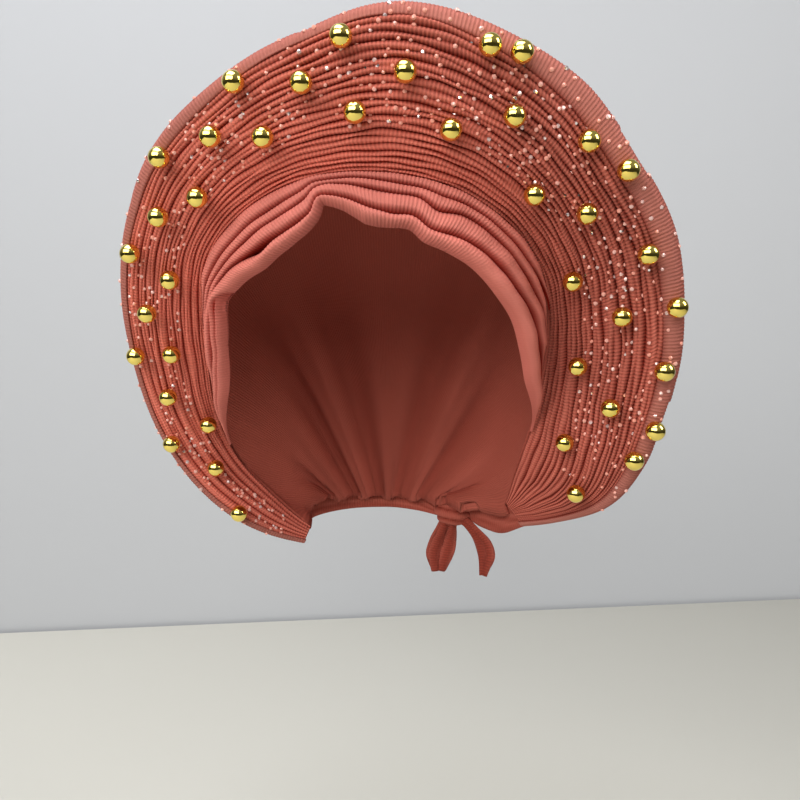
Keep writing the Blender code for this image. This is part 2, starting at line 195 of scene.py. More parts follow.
# The pleated brim, from its root at the brow folds out to its rim.  band is the smooth outermost turn,
# and growth is how fast the pleats widen outwards.
BrimSection = namedtuple("BrimSection", "turn rim_reach rim_depth root_reach root_depth band growth")
BRIM_SECTIONS = tuple(BrimSection(*row) for row in (
    (-53, 141, 38, 125, 43, 4, 1.0),
    (-46, 145, 16, 113, 29, 4, 1.0),
    (-37, 148, -16, 103, 16, 5, 0.98),
    (-25, 146, -42, 96, 5, 6, 0.97),
    (-12, 145, -54, 92, -4, 7, 0.97),
    (4, 143.5, -66, 91, -17, 8, 0.98),
    (20, 144, -78, 91, -34, 10, 1.0),
    (35, 143, -90, 89, -52, 10, 1.02),
    (50, 144, -97, 86, -66, 10.5, 1.03),
    (66, 145, -101, 84, -75, 8, 1.06),
    (87, 148.5, -101, 83, -79, 5, 1.1),
    (104, 143, -97, 86, -77, 4, 1.1),
    (120, 142, -87, 91, -71, 5, 1.08),
    (136, 144, -71, 97, -59, 6, 1.08),
    (152, 145, -50, 102, -42, 5, 1.1),
    (168, 144, -26, 101, -22, 4.2, 1.12),
    (184, 144, 0, 102, -2, 4, 1.12),
    (200, 144, 15, 109, 18, 3, 1.1),
    (216, 142, 21, 116, 36, 2.2, 1.08),
    (232, 139, 28, 120, 47, 2.2, 1.05),
    (247, 137, 48, 127, 52, 2.2, 1.02),
))
PLEATS = 21
COURSES = 3
PLEAT_RELIEF = 2.4
RELIEF_PER_PITCH = 0.68
BRIM_BULGE = 0.09
BAND_GAP = 0.1
BAND_OVERLAP = 0.8
PLEATS_START = -1.3

# How far the pleats bow out to the rim between the two, where they sweep round into the tie.
BOW_TURNS = (-53, -49, -42, -35, -27, -15, 0, 10)
BOWS = (0.3, 0.75, 0.9, 0.72, 0.45, 0.2, 0.06, 0)

# The smooth outermost turn rolls over the rim and ends as a hem behind the brim.
RIM_LIFT = 1.4
RIM_RETURN = 14.0
LEAST_RETURN = 0.8
RETURN_SHARE = 0.6
TIED_WIDTH = 15.0
HEM_RISE = 0.06
RIM_ROLL = 3.4
ROLL_LESS = 1.2
ROLL_SHARE = 0.18
ROLL_START = 0.2
ROLL_END = 0.7
RIM_CLOTH = 1.5

# The draped folds at the brow, between their lowest hem and the brim's root.
# groove_1 to groove_3 are the grooves between the folds, as shares of that way.
BrowSection = namedtuple("BrowSection", "turn hem_reach hem_depth groove_1 groove_2 groove_3")
BROW_SECTIONS = tuple(BrowSection(*row) for row in (
    (-30, 93, -16, 0.90, 0.97, 0.99),
    (-22, 86.5, -23, 0.70, 0.88, 0.95),
    (-12, 78.5, -32, 0.58, 0.80, 0.91),
    (0, 72, -43, 0.48, 0.76, 0.89),
    (13, 67.5, -54, 0.42, 0.73, 0.87),
    (25, 62.5, -65, 0.34, 0.66, 0.85),
    (36, 59.5, -73, 0.33, 0.65, 0.84),
    (47, 57, -80, 0.32, 0.66, 0.84),
    (59, 54.5, -85, 0.28, 0.67, 0.85),
    (69, 53.5, -88, 0.24, 0.57, 0.82),
    (77, 56, -89, 0.29, 0.65, 0.84),
    (87, 56, -90.5, 0.28, 0.65, 0.85),
    (97, 58.5, -90, 0.34, 0.71, 0.89),
    (104, 63, -88.5, 0.42, 0.75, 0.89),
    (109, 68, -87, 0.42, 0.73, 0.86),
    (112.5, 70.5, -86, 0.38, 0.66, 0.83),
    (116, 67.5, -85, 0.26, 0.58, 0.78),
    (121, 65, -83, 0.26, 0.55, 0.76),
    (129, 64.5, -79, 0.28, 0.56, 0.75),
    (138, 66.5, -74, 0.33, 0.58, 0.76),
    (146, 69.5, -67, 0.40, 0.60, 0.77),
    (154, 76.5, -59, 0.46, 0.62, 0.79),
    (162, 82.5, -52, 0.50, 0.68, 0.83),
    (174, 82.5, -42, 0.50, 0.74, 0.88),
    (188, 85.5, -27, 0.50, 0.80, 0.92),
    (200, 94, -14, 0.62, 0.88, 0.96),
    (212, 104, 2, 0.80, 0.95, 0.98),
))
# Each fold runs between two turns of that table, and its crest stands so far over its grooves.
FoldRun = namedtuple("FoldRun", "left_turn right_turn crest")
FOLD_RUNS = tuple(FoldRun(*row) for row in (
    (212, -30, 4.6),
    (200, -12, 4.4),
    (188, 0, 3.8),
    (174, 13, 3.2),
))
FOLD_CLOTH = 1.1
CREST_SHARE = 0.55
FOLD_SINK = 2.4

# The cap, from close behind the brim's root to the gathered nape.
CAP_BEHIND_ROOT = 2.1
OVER_WAY = (0.75, 0.6, 0.75)
OVER_FROM = -0.6
OVER_FULL = 0.9
NAPE_HALF_WIDTH = 50.0
NAPE_DEPTH = 92.0
NAPE_CURVE = 26.0
NAPE_Z = -197.0
FULL_SIDES = 0.85
NAPE_START = 0.4
GATHERS = 6
GATHER_DEPTH = 2.4
GATHER_START = 0.35
GATHER_FULL = 0.85

# The straps behind the nape, their knot and the two loose ends.
STRAP_CLOTH = 1.6
StrapSection = namedtuple("StrapSection", "top_x top_depth top_z foot_x foot_depth foot_z")
LEFT_STRAP = tuple(StrapSection(*row) for row in (
    (-51.5, 51, -210.8, -55.2, 46.9, -219.7),
    (-53.5, 55.5, -206.5, -55.5, 54.5, -219),
    (-56, 66, -192.8, -57, 66, -215),
    (-50, 79, -190.5, -50, 79, -210.5),
    (-28, 91.5, -193, -28, 91.5, -208),
    (0, 97, -193, 0, 97, -208),
    (20, 95.5, -197, 20, 95.5, -210),
    (34, 89.5, -204, 34, 89.5, -212),
))
RIGHT_STRAP = tuple(StrapSection(*row) for row in (
    (55.5, 80.5, -199, 56, 79.8, -213),
    (62.5, 70, -194.3, 64, 70.5, -216),
    (70.5, 57.5, -193.3, 75.5, 58, -216.5),
    (78.6, 42.3, -194.6, 86.2, 37.4, -206.9),
))
KNOT_CENTRE = np.array([45.0, 84.0, -208.0])
KNOT_HALF = np.array([13.0, 8.5, 11.0])
TailSection = namedtuple("TailSection", "x depth z width turn")
SIDE_TAIL = tuple(TailSection(*row) for row in (
    (50, 81, -212, 9, -26),
    (57, 79, -219, 11, -30),
    (63.5, 76, -227, 14, -32),
    (66, 72.5, -237, 13, -36),
    (64, 70, -249, 3, -38),
))
BACK_TAIL = tuple(TailSection(*row) for row in (
    (41.5, 85, -212, 11, 10),
    (40, 86, -218.6, 14, 10),
    (38, 91, -229, 19, 8),
    (36, 92, -240, 20, 5),
    (35, 91, -252, 10, 2),
))

BEADS = 39
BEAD_DIAMETER = 10.0

# The cloth's ribs, and how finely the sheets are cut up along and across them.
RIB = 1.8
RIB_CUTS = 4
BRIM_RIB_CUTS = 3
RIB_ROUNDNESS = 0.6
RUN_STATIONS = 3000
PLEAT_CUTS = (0, 0.06, 0.18, 0.36, 0.5, 0.64, 0.82, 0.94)


def smooth_curve(stations, values):
    """A smooth function through values at rising stations, straight on past its ends."""
    stations = np.array(stations, float)
    values = np.array(values, float)
    slopes = np.gradient(values, stations)

    def value(at):
        at = np.asarray(at, float)
        left = np.clip(np.searchsorted(stations, at) - 1, 0, len(stations) - 2)
        span = stations[left + 1] - stations[left]
        t = (at - stations[left]) / span
        rise = values[left + 1] - values[left]
        start = slopes[left] * span - rise
        end = rise - slopes[left + 1] * span
        return values[left] + t * rise + t * (1 - t) * ((1 - t) * start + t * end)

    return value


def columns(rows):
    """The columns of a table after its first, each as a smooth function of the turn in the first."""
    turns, *others = zip(*rows)
    return [smooth_curve(turns, values) for values in others]


def columns_along(rows, share):
    """Every column of a table, read at shares of the way from its first row to its last."""
    stations = np.linspace(0, 1, len(rows))
    return type(rows[0])(*(smooth_curve(stations, values)(share) for values in zip(*rows)))


RIM_REACH, RIM_DEPTH, ROOT_REACH, ROOT_DEPTH, BAND, GROWTH = columns(BRIM_SECTIONS)
HEM_REACH, HEM_DEPTH, *GROOVES = columns(BROW_SECTIONS)
ROOT = (ROOT_REACH, ROOT_DEPTH)
RIM = (RIM_REACH, RIM_DEPTH)
HEM = (HEM_REACH, HEM_DEPTH)
RIM_SWELL = smooth_curve(
    (-53, -42, -34, -26, -18, -8, 0, 8, 15, 22, 30, 37, 45,
     52, 60, 70, 80, 94, 102, 112, 126, 136, 142, 150, 160, 247),
    (0.5, 1.6, 2.4, 1.6, 0, 0.2, 1.2, 1.2, 1.4, 1.7, 0.7, -0.4, 0.3,
     1.6, 1.6, 1.4, 1.0, 0.8, 0, 0.4, 0.3, 1.0, 1.1, 0, 0, 0),
)
BRIM_LEFT = BRIM_SECTIONS[-1].turn
BRIM_RIGHT = BRIM_SECTIONS[0].turn


def place(turn, reach, depth):
    """Points of the face opening's frame as x, y, z."""
    angle = np.radians(turn)
    across = reach * np.cos(angle)
    return np.stack([across, depth + 0 * across, FACE_CENTRE_Z + reach * np.sin(angle)], axis=-1)


def smooth_step(share):
    share = np.clip(share, 0, 1)
    return share * share * (3 - 2 * share)


def unit(ways):
    """The same ways, each of them 1 long."""
    return ways / np.linalg.norm(ways, axis=-1, keepdims=True)


def run_along(points, axis=0):
    """How far along a line of points, or along one axis of a grid of them, each point lies."""
    steps = np.linalg.norm(np.diff(points, axis=axis), axis=-1)
    return np.insert(np.cumsum(steps, axis=axis), 0, 0, axis=axis)


def grid_shares(along_lines, across_lines):
    """Shares of the way along and of the way across at each point of a grid."""
    return np.meshgrid(np.linspace(0, 1, along_lines), np.linspace(0, 1, across_lines), indexing="ij")


def section_way(turn, inner, outer):
    """The width of a section from its inner to its outer line, and the reach and depth of its way out."""
    reach_step = outer[0](turn) - inner[0](turn)
    depth_step = outer[1](turn) - inner[1](turn)
    width = np.hypot(reach_step, depth_step)
    return width, reach_step / width, depth_step / width


def surface_normal(base, turn, across):
    """The way in front of a surface that base gives for a turn and a place across."""
    along_step = base(turn - PROBE, across) - base(turn + PROBE, across)
    across_step = base(turn, across + PROBE) - base(turn, across - PROBE)
    return unit(np.cross(along_step, across_step))


def lifted(base, turn, across, lift):
    """Points lift mm in front of a surface that base gives for a turn and a place across."""
    return base(turn, across) + surface_normal(base, turn, across) * np.asarray(lift)[..., None]


def brim_base(turn, outwards):
    """The brim's middle surface, outwards mm from its root."""
    width, way_reach, way_depth = section_way(turn, ROOT, RIM)
    share = np.clip(outwards / width, 0, 1)
    bulge = BRIM_BULGE * width * 4 * share * (1 - share)
    reach = ROOT_REACH(turn) + outwards * way_reach + bulge * way_depth
    depth = ROOT_DEPTH(turn) + outwards * way_depth - bulge * way_reach
    return place(turn, reach, depth)


def brim_point(turn, outwards, lift):
    return lifted(brim_base, turn, outwards, lift)


def brim_width(turn):
    return section_way(turn, ROOT, RIM)[0]


def rim_width(turn):
    """How far out the cloth of the rim reaches: the rim dips and swells a little along its way."""
    return brim_width(turn) + RIM_SWELL(turn)


def pleat_out(turn, pleat):
    """How far out from the root the line pleat lies: whole numbers are grooves, halves are ridges."""
    pleated = rim_width(turn) - BAND(turn) - BAND_GAP - PLEATS_START
    share = np.clip(pleat, 0, PLEATS + 1) / PLEATS
    bow = np.interp(turn, BOW_TURNS, BOWS) * share * (1 - share)
    return PLEATS_START + pleated * (share ** GROWTH(turn) + bow)


def pleat_relief(turn, pleat):
    """How far a ridge stands over its grooves: less where the pleats are packed tight."""
    middle = np.floor(np.minimum(pleat, PLEATS - PROBE)) + 0.5
    pitch = pleat_out(turn, middle + 0.5) - pleat_out(turn, middle - 0.5)
    return np.minimum(PLEAT_RELIEF, RELIEF_PER_PITCH * pitch)


class Wander:
    """Smooth seeded wandering between -1 and 1 along turns, with a line of its own for each row."""

    def __init__(self, seed, rows, waves):
        draw = np.random.default_rng(seed)
        self.waves = np.array(waves, float)
        self.phases = draw.uniform(0, 2 * math.pi, (rows + 1, len(waves)))
        self.sizes = draw.uniform(0.5, 1, (rows + 1, len(waves)))
        self.sizes /= self.sizes.sum(axis=1, keepdims=True)

    def line(self, turn, row):
        angle = 2 * math.pi * np.asarray(turn)[..., None] / self.waves + self.phases[row]
        return (self.sizes[row] * np.sin(angle)).sum(axis=-1)

    def __call__(self, turn, row):
        turn, row = np.broadcast_arrays(turn, np.clip(row, 0, len(self.phases) - 1 - PROBE))
        lower = np.floor(row).astype(int)
        share = row - lower
        return self.line(turn, lower) * (1 - share) + self.line(turn, lower + 1) * share


def ribs_along(line, first, last, cuts=RIB_CUTS):
    """Turns from first to last along a line, so many cuts to each rib, and the ribs up to each turn."""
    turns = np.linspace(first, last, RUN_STATIONS)
    run = run_along(line(turns))
    ribs = round(run[-1] / RIB)
    shares = np.linspace(0, 1, cuts * ribs + 1)
    return np.interp(shares * run[-1], run, turns), shares * ribs


def rib_height(ribs):
    """A rib's rounded height, from 0 between two ribs to 1 on its crest."""
    return np.abs(np.sin(math.pi * np.asarray(ribs))) ** RIB_ROUNDNESS


def grid_normals(points):
    """Normals of a grid of points, from its neighbours along and across."""
    return unit(np.cross(np.gradient(points, axis=0), np.gradient(points, axis=1)))


def edge_strip(fine, coarse):
    """Triangles between a fine edge and a coarse one that it runs beside."""
    step = (len(fine) - 1) // (len(coarse) - 1)
    half = (step + 1) // 2
    faces = []
    for number in range(len(coarse) - 1):
        here, there = coarse[number], coarse[number + 1]
        run = fine[number * step:(number + 1) * step + 1]
        faces += [(run[k], run[k + 1], here) for k in range(half)]
        faces.append((run[half], there, here))
        faces += [(run[k], run[k + 1], there) for k in range(half, step)]
    return np.array(faces)


def grid_quads(numbers):
    """The quads of a grid of vertex numbers, facing along x across."""
    corners = (numbers[:-1, :-1], numbers[1:, :-1], numbers[1:, 1:], numbers[:-1, 1:])
    return np.stack([corner.ravel() for corner in corners], axis=-1)


def mesh_of(name, points, quads, triangles):
    mesh = bpy.data.meshes.new(name)
    mesh.vertices.add(len(points))
    mesh.vertices.foreach_set("co", (points * MM).ravel())
    corners = np.concatenate([quads.ravel(), triangles.ravel()]).astype(np.int32)
    quad_starts = 4 * np.arange(len(quads))
    starts = np.concatenate([quad_starts, 4 * len(quads) + 3 * np.arange(len(triangles))])
    mesh.loops.add(len(corners))
    mesh.loops.foreach_set("vertex_index", corners)
    mesh.polygons.add(len(starts))
    mesh.polygons.foreach_set("loop_start", starts.astype(np.int32))
    mesh.update(calc_edges=True)
    mesh.shade_smooth()
    return mesh


def show(name, mesh, finish):
    """Adds a mesh to the scene as a piece of the head tie with one finish."""
    mesh.materials.append(finish)
    piece = bpy.data.objects.new(name, mesh)
    bpy.context.scene.collection.objects.link(piece)
    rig.ride(piece, "root")
    return piece


def mark(mesh, name, values):
    """A number at each vertex, which the finishes read by name."""
    mesh.attributes.new(name, "FLOAT", "POINT").data.foreach_set("value", values.astype(np.float32))


def cloth_piece(name, front, back, marks, finish):
    """A sheet of cloth: a fine front grid, a coarser back grid behind it, and its edges closed.

    marks are numbers over the front grid: rib counts ribs along, across is in mm, crest is 0 in the grooves
    and 1 on the crests and sets the painted shade, tone is random unevenness plus painted light and shade,
    and ribbed is how strongly its ribs show.
    """
    steps = [(front.shape[axis] - 1) // (back.shape[axis] - 1) for axis in (0, 1)]
    fine = np.arange(front.shape[0] * front.shape[1]).reshape(front.shape[:2])
    coarse = fine.size + np.arange(back.shape[0] * back.shape[1]).reshape(back.shape[:2])
    quads = np.concatenate([grid_quads(fine), grid_quads(coarse)[:, ::-1]])
    edges = (
        (fine[:, 0][::-1], coarse[:, 0][::-1]),
        (fine[-1][::-1], coarse[-1][::-1]),
        (fine[:, -1], coarse[:, -1]),
        (fine[0], coarse[0]),
    )
    triangles = np.concatenate([edge_strip(*edge) for edge in edges])
    points = np.concatenate([front.reshape(-1, 3), back.reshape(-1, 3)])
    mesh = mesh_of(name, points, quads, triangles)
    for mark_name, values in {"ribbed": 1.0, **marks}.items():
        values = np.broadcast_to(values, front.shape[:2])
        behind = values[::steps[0], ::steps[1]]
        mark(mesh, mark_name, np.concatenate([values.ravel(), behind.ravel()]))
    return show(name, mesh, finish)


def grid_steps(points):
    """How long the steps of a grid of points are, along it and across it."""
    return [np.linalg.norm(np.diff(points, axis=axis), axis=-1) for axis in (0, 1)]


def flat_size(points):
    """The width and length in metres that a grid of points opens out to, on average."""
    along, across = grid_steps(points)
    return round(across.sum(axis=1).mean() * MM, 3), round(along.sum(axis=0).mean() * MM, 3)


def cut_of(points):
    """The flat cut of a grid of points whose edges aren't straight: its size in metres and its area."""
    width, length = flat_size(points)
    along, across = grid_steps(points)
    cells = (along[:, 1:] + along[:, :-1]) * (across[1:] + across[:-1]) / 4
    area = float(cells.sum()) * MM * MM
    return {"flat": (width, length), "area": round(min(area, width * length), 7)}


class Value:
    """One output of a finish's nodes, with the sums that finishes need."""

    def __init__(self, finish, socket):
        self.finish = finish
        self.socket = socket

    def __add__(self, other):
        return self.finish.sum("ADD", self, other)

    def __sub__(self, other):
        return self.finish.sum("SUBTRACT", self, other)

    def __rsub__(self, other):
        return self.finish.sum("SUBTRACT", other, self)

    def __mul__(self, other):
        return self.finish.sum("MULTIPLY", self, other)

    def __pow__(self, other):
        return self.finish.sum("POWER", self, other)

    __radd__ = __add__
    __rmul__ = __mul__


class Finish:
    """A material, built up from sums of what varies over its surface."""

    def __init__(self, name, **constants):
        self.material = bpy.data.materials.new(name)
        self.material.use_nodes = True
        self.tree = self.material.node_tree
        self.shader = self.tree.nodes["Principled BSDF"]
        for socket, value in constants.items():
            self.shader.inputs[socket.replace("_", " ")].default_value = value

    def feed(self, socket, value):
        if isinstance(value, Value):
            self.tree.links.new(value.socket, socket)
        else:
            socket.default_value = value

    def node(self, kind, settings=None, sockets=None, output=0):
        """Any node: its settings first, and then what its sockets take."""
        made = self.tree.nodes.new(kind)
        for name, value in (settings or {}).items():
            setattr(made, name, value)
        for name, value in (sockets or {}).items():
            self.feed(made.inputs[name], value)
        return Value(self, made.outputs[output])

    def sum(self, operation, first, second=0.0):
        return self.node("ShaderNodeMath", {"operation": operation}, {0: first, 1: second})

    def mark(self, name):
        """A number that the mesh holds at each vertex."""
        return self.node("ShaderNodeAttribute", {"attribute_name": name}, output="Fac")

    def place(self):
        return self.node("ShaderNodeTexCoord", output="Object")

    def side(self):
        """How far to the right a spot lies, in metres."""
        return self.node("ShaderNodeSeparateXYZ", sockets={0: self.place()}, output="X")

    def noise(self, scale, detail=2.0):
        sockets = {"Vector": self.place(), "Scale": scale, "Detail": detail}
        return self.node("ShaderNodeTexNoise", sockets=sockets)

    def blend(self, share, first, second):
        """A colour between two colours."""
        sockets = {0: share, 6: first, 7: second}
        return self.node("ShaderNodeMix", {"data_type": "RGBA"}, sockets, output=2)

    def shade(self, colour, value):
        """A colour made lighter or darker by a value."""
        return self.node("ShaderNodeVectorMath", {"operation": "SCALE"}, {0: colour, "Scale": value})

    def bump(self, height, distance, strength=1.0):
        sockets = {"Strength": strength, "Distance": distance, "Height": height}
        return self.node("ShaderNodeBump", sockets=sockets)

    def give(self, **sockets):
        for name, value in sockets.items():
            self.feed(self.shader.inputs[name.replace("_", " ")], value)
        return self.material


# How far the dark groove colour, a painted shade, spreads up from the grooves.
GROOVE_SPREAD = 0.95
# How fast the threads follow one another along and across, and how much each thing lightens the cloth:
# CREST_FADE takes the painted shade between the ribs off the crests, and TONE_LIGHT scales the tone mark,
# which holds random unevenness and painted light and shade.
THREADS_ALONG = 38.0
THREADS_ACROSS = 13.0
CREST_FADE = 0.75
TONE_LIGHT = 0.07
PATCH_LIGHT = 0.16
THREAD_LIGHT = 0.03
# How far the threads and the grain stand out, as shares of a rib.
THREAD_HEIGHT = 0.16
GRAIN_HEIGHT = 0.25
CLOTH_ROUGHNESS = 0.68
GRAIN_ROUGHNESS = 0.16


def cloth_finish(name, crest_colour, groove_colour, rib_shade):
    """Ribbed woven cloth with a soft sheen, and painted shade: darker and redder in its grooves and between its ribs.
    """
    finish = Finish(
        name,
        Sheen_Weight=0.04,
        Sheen_Roughness=0.45,
        Sheen_Tint=(1.0, 0.5, 0.4, 1),
        Specular_IOR_Level=0.08,
    )
    rib = finish.mark("rib")
    across = finish.mark("across")
    crest = finish.mark("crest")
    tone = finish.mark("tone")
    ribbed = finish.mark("ribbed")
    bulge = finish.sum("SINE", rib * (2 * math.pi) - math.pi / 2) * 0.5 + 0.5
    threads = finish.sum("SINE", rib * THREADS_ALONG) * finish.sum("SINE", across * THREADS_ACROSS)
    patches = finish.noise(scale=38.0, detail=3.0)
    grain = finish.noise(scale=900.0)
    # Painted shade: the colour goes towards the groove colour where the crest mark is low, in grooves, creases and
    # hollows, and darkens between the ribs.
    colour = finish.blend(crest ** GROOVE_SPREAD, groove_colour, crest_colour)
    light = 1 - rib_shade * ribbed * (1 - bulge) * (1 - crest * CREST_FADE)
    light = light + tone * TONE_LIGHT + (patches - 0.5) * PATCH_LIGHT + threads * THREAD_LIGHT
    height = bulge * ribbed + threads * THREAD_HEIGHT + grain * GRAIN_HEIGHT
    return finish.give(
        Base_Color=finish.shade(colour, light),
        Roughness=CLOTH_ROUGHNESS + grain * GRAIN_ROUGHNESS,
        Normal=finish.bump(height, distance=0.00022, strength=0.8),
    )


def gold_finish():
    """Bright gold plate, almost mirror smooth: a faint haze, and dents too shallow to see."""
    finish = Finish("bead_gold_plate", Metallic=1.0)
    haze = finish.noise(scale=420.0)
    tarnish = finish.noise(scale=95.0)
    dents = finish.noise(scale=330.0)
    return finish.give(
        Base_Color=finish.blend(tarnish, (0.88, 0.68, 0.145, 1), (0.94, 0.76, 0.21, 1)),
        Roughness=0.03 + haze * 0.04,
        Normal=finish.bump(dents, distance=0.0002, strength=0.35),
    )


def stone_finish():
    """Cut stones with a foil behind them: most are salmon pink, and a few clear ones flash."""
    finish = Finish("stone_foiled_crystal", IOR=1.55, Coat_Weight=0.25, Coat_Roughness=0.03)
    shade = finish.mark("tone")
    fleck = finish.noise(scale=1500.0)
    return finish.give(
        Base_Color=finish.blend(shade ** 2.0, (0.88, 0.37, 0.28, 1), (0.93, 0.84, 0.84, 1)),
        Metallic=shade ** 4.0,
        Roughness=0.06 + fleck * 0.08,
    )


GRAIN_FINER = 60
CLOUD_LIGHT = (0.985, 0.03)


def plain_finish(name, colour, scale, depth, fade):
    """A painted or boarded surface round the head tie, softly uneven, with painted light and shade that runs from side
    to side.
    """
    finish = Finish(name, Roughness=0.62, Specular_IOR_Level=0.3)
    cloud = finish.noise(scale)
    grain = finish.noise(scale * GRAIN_FINER)
    light = CLOUD_LIGHT[0] + cloud * CLOUD_LIGHT[1] + finish.side() * fade
    return finish.give(
        Base_Color=finish.shade(finish.blend(0.0, (*colour, 1), (*colour, 1)), light),
        Normal=finish.bump(grain, depth, strength=0.3),
    )


PLEAT_WANDER = Wander(seed=11, rows=PLEATS + 1, waves=(97, 41, 23, 13))
RELIEF_WANDER = Wander(seed=12, rows=PLEATS + 1, waves=(71, 33, 17))
LEAN_WANDER = Wander(seed=13, rows=PLEATS + 1, waves=(83, 37, 19))
RIB_WANDER = Wander(seed=14, rows=PLEATS + 1, waves=(61, 29))
TONE_WANDER = Wander(seed=15, rows=PLEATS + 1, waves=(120, 53))
WANDER_PLEATS = 0.3
LEAN = 0.16
RELIEF_CHANGE = 0.28
RIB_SLIP = 0.35
PLEAT_ROUNDNESS = 0.8
OPEN_WANDER = Wander(seed=16, rows=PLEATS + 1, waves=(57, 27, 15))
OPEN_GROOVE = 0.8
# The pleats merge by twos and threes into ropes, each between two of these grooves.
PAIR_GROOVES = (0, 2, 4, 7, 9, 11, 14, 16, 18, 21)
ROPE_GROOVES = (0, 3, 7, 10, 14, 17, 21)
MERGE_WANDER = Wander(seed=17, rows=8, waves=(61, 33, 19))
MERGE_TURNS = (-53, -30, 0, 30, 60, 115, 145, 165, 190, 212, 247)
PAIR_SHARES = (0.2, 0.4, 0.5, 0.35, 0.25, 0.25, 0.4, 0.6, 0.65, 0.5, 0.5)
ROPE_SHARES = (0, 0, 0, 0, 0, 0, 0, 0, 0.15, 0.8, 0.85)
MERGE_CHANGE = 0.6
PAIR_RISE = 0.55
ROPE_RISE = 0.8
MOST_RISE = 3.0
# Painted light and shade on the pleats: lighter near the root at the top and on the left, darker on the right.
TOP_PAINTED_LIGHT = 5.5
RIGHT_PAINTED_SHADE = 3.8
LEFT_PAINTED_LIGHT = 1.8
RIB_PINCH = 0.21
GROOVE_LIFT = -0.6
TUCK_LIFT = -1.5
TUCK = 0.05
# The brim's root ends in a narrow lip that reaches in behind the brow folds.
ROOT_LIP = ((-3.4, -1.7), (-2.1, -1.6))
ROOT_LIP_BACK = -2.1
# The pleats and ribs hold still over this many pleats and ribs from their ends.
HELD_PLEATS = 1.5
HELD_RIBS = 6
ROPE_PLEATS = 3
MOST_PAIRED = 0.85
PINCH_NARROWING = 0.6
BACK_HOLLOW = 0.45


def pleat_line(turn, pleat):
    """Where a pleat's line truly runs, since the pleats wander a little between their ends."""
    held = smooth_step(np.minimum(pleat, PLEATS - pleat) / HELD_PLEATS)
    return pleat + WANDER_PLEATS * held * PLEAT_WANDER(turn, pleat)


def merged(pleat, grooves):
    """The round height of the ropes that lie between grooves."""
    rope = np.interp(pleat, grooves, np.arange(len(grooves)))
    return 1 - np.abs(2 * (rope % 1) - 1) ** 2


def merge_shares(turn, pleat):
    """How far the pleats have merged by twos, and how far by threes."""
    threes = np.interp(turn, MERGE_TURNS, ROPE_SHARES)
    change = MERGE_CHANGE * MERGE_WANDER(turn, pleat / ROPE_PLEATS)
    twos = np.interp(turn, MERGE_TURNS, PAIR_SHARES) + change
    return np.clip(twos, 0, MOST_PAIRED) * (1 - threes), threes


def pleat_profile(turn, pleat):
    """A pleat's round height in section, from 0 in a groove to 1 on a ridge; some grooves gape."""
    gape = OPEN_GROOVE * np.maximum(OPEN_WANDER(turn, np.round(pleat)), 0)
    single = (1 - np.abs(2 * (pleat % 1) - 1) ** 2) ** (PLEAT_ROUNDNESS + gape)
    twos, threes = merge_shares(turn, pleat)
    pairs = merged(pleat, PAIR_GROOVES) * twos
    ropes = merged(pleat, ROPE_GROOVES) * threes
    return single * (1 - twos - threes) + pairs + ropes


def pleated_front(turn, pleat, ribs):
    """The brim's front: a lift over its middle surface for each turn and pleat line, ribs and all."""
    profile = pleat_profile(turn, pleat)
    ridge = np.floor(np.minimum(pleat, PLEATS - PROBE)) + 0.5
    twos, threes = merge_shares(turn, pleat)
    rise = pleat_relief(turn, pleat) * (1 + RELIEF_CHANGE * RELIEF_WANDER(turn, ridge))
    rise = np.minimum(rise * (1 + PAIR_RISE * twos + ROPE_RISE * threes), MOST_RISE)
    pinch = RIB_PINCH * profile * (1 - rib_height(ribs))
    lean = LEAN * profile * LEAN_WANDER(turn, ridge)
    line = pleat_line(turn, pleat + lean - pinch * PINCH_NARROWING * (pleat - ridge))
    return pleat_out(turn, line), GROOVE_LIFT + rise * profile * (1 - pinch)


def painted_brim_shade(turn, pleat):
    """Painted light and shade on the pleats: they are lightest near the root at the top and on the left side."""
    angle = np.radians(turn)
    top = TOP_PAINTED_LIGHT * (0.5 - pleat / PLEATS) * np.maximum(np.sin(angle), 0)
    side = np.cos(angle)
    return top - RIGHT_PAINTED_SHADE * np.maximum(side, 0) + LEFT_PAINTED_LIGHT * np.maximum(-side, 0)


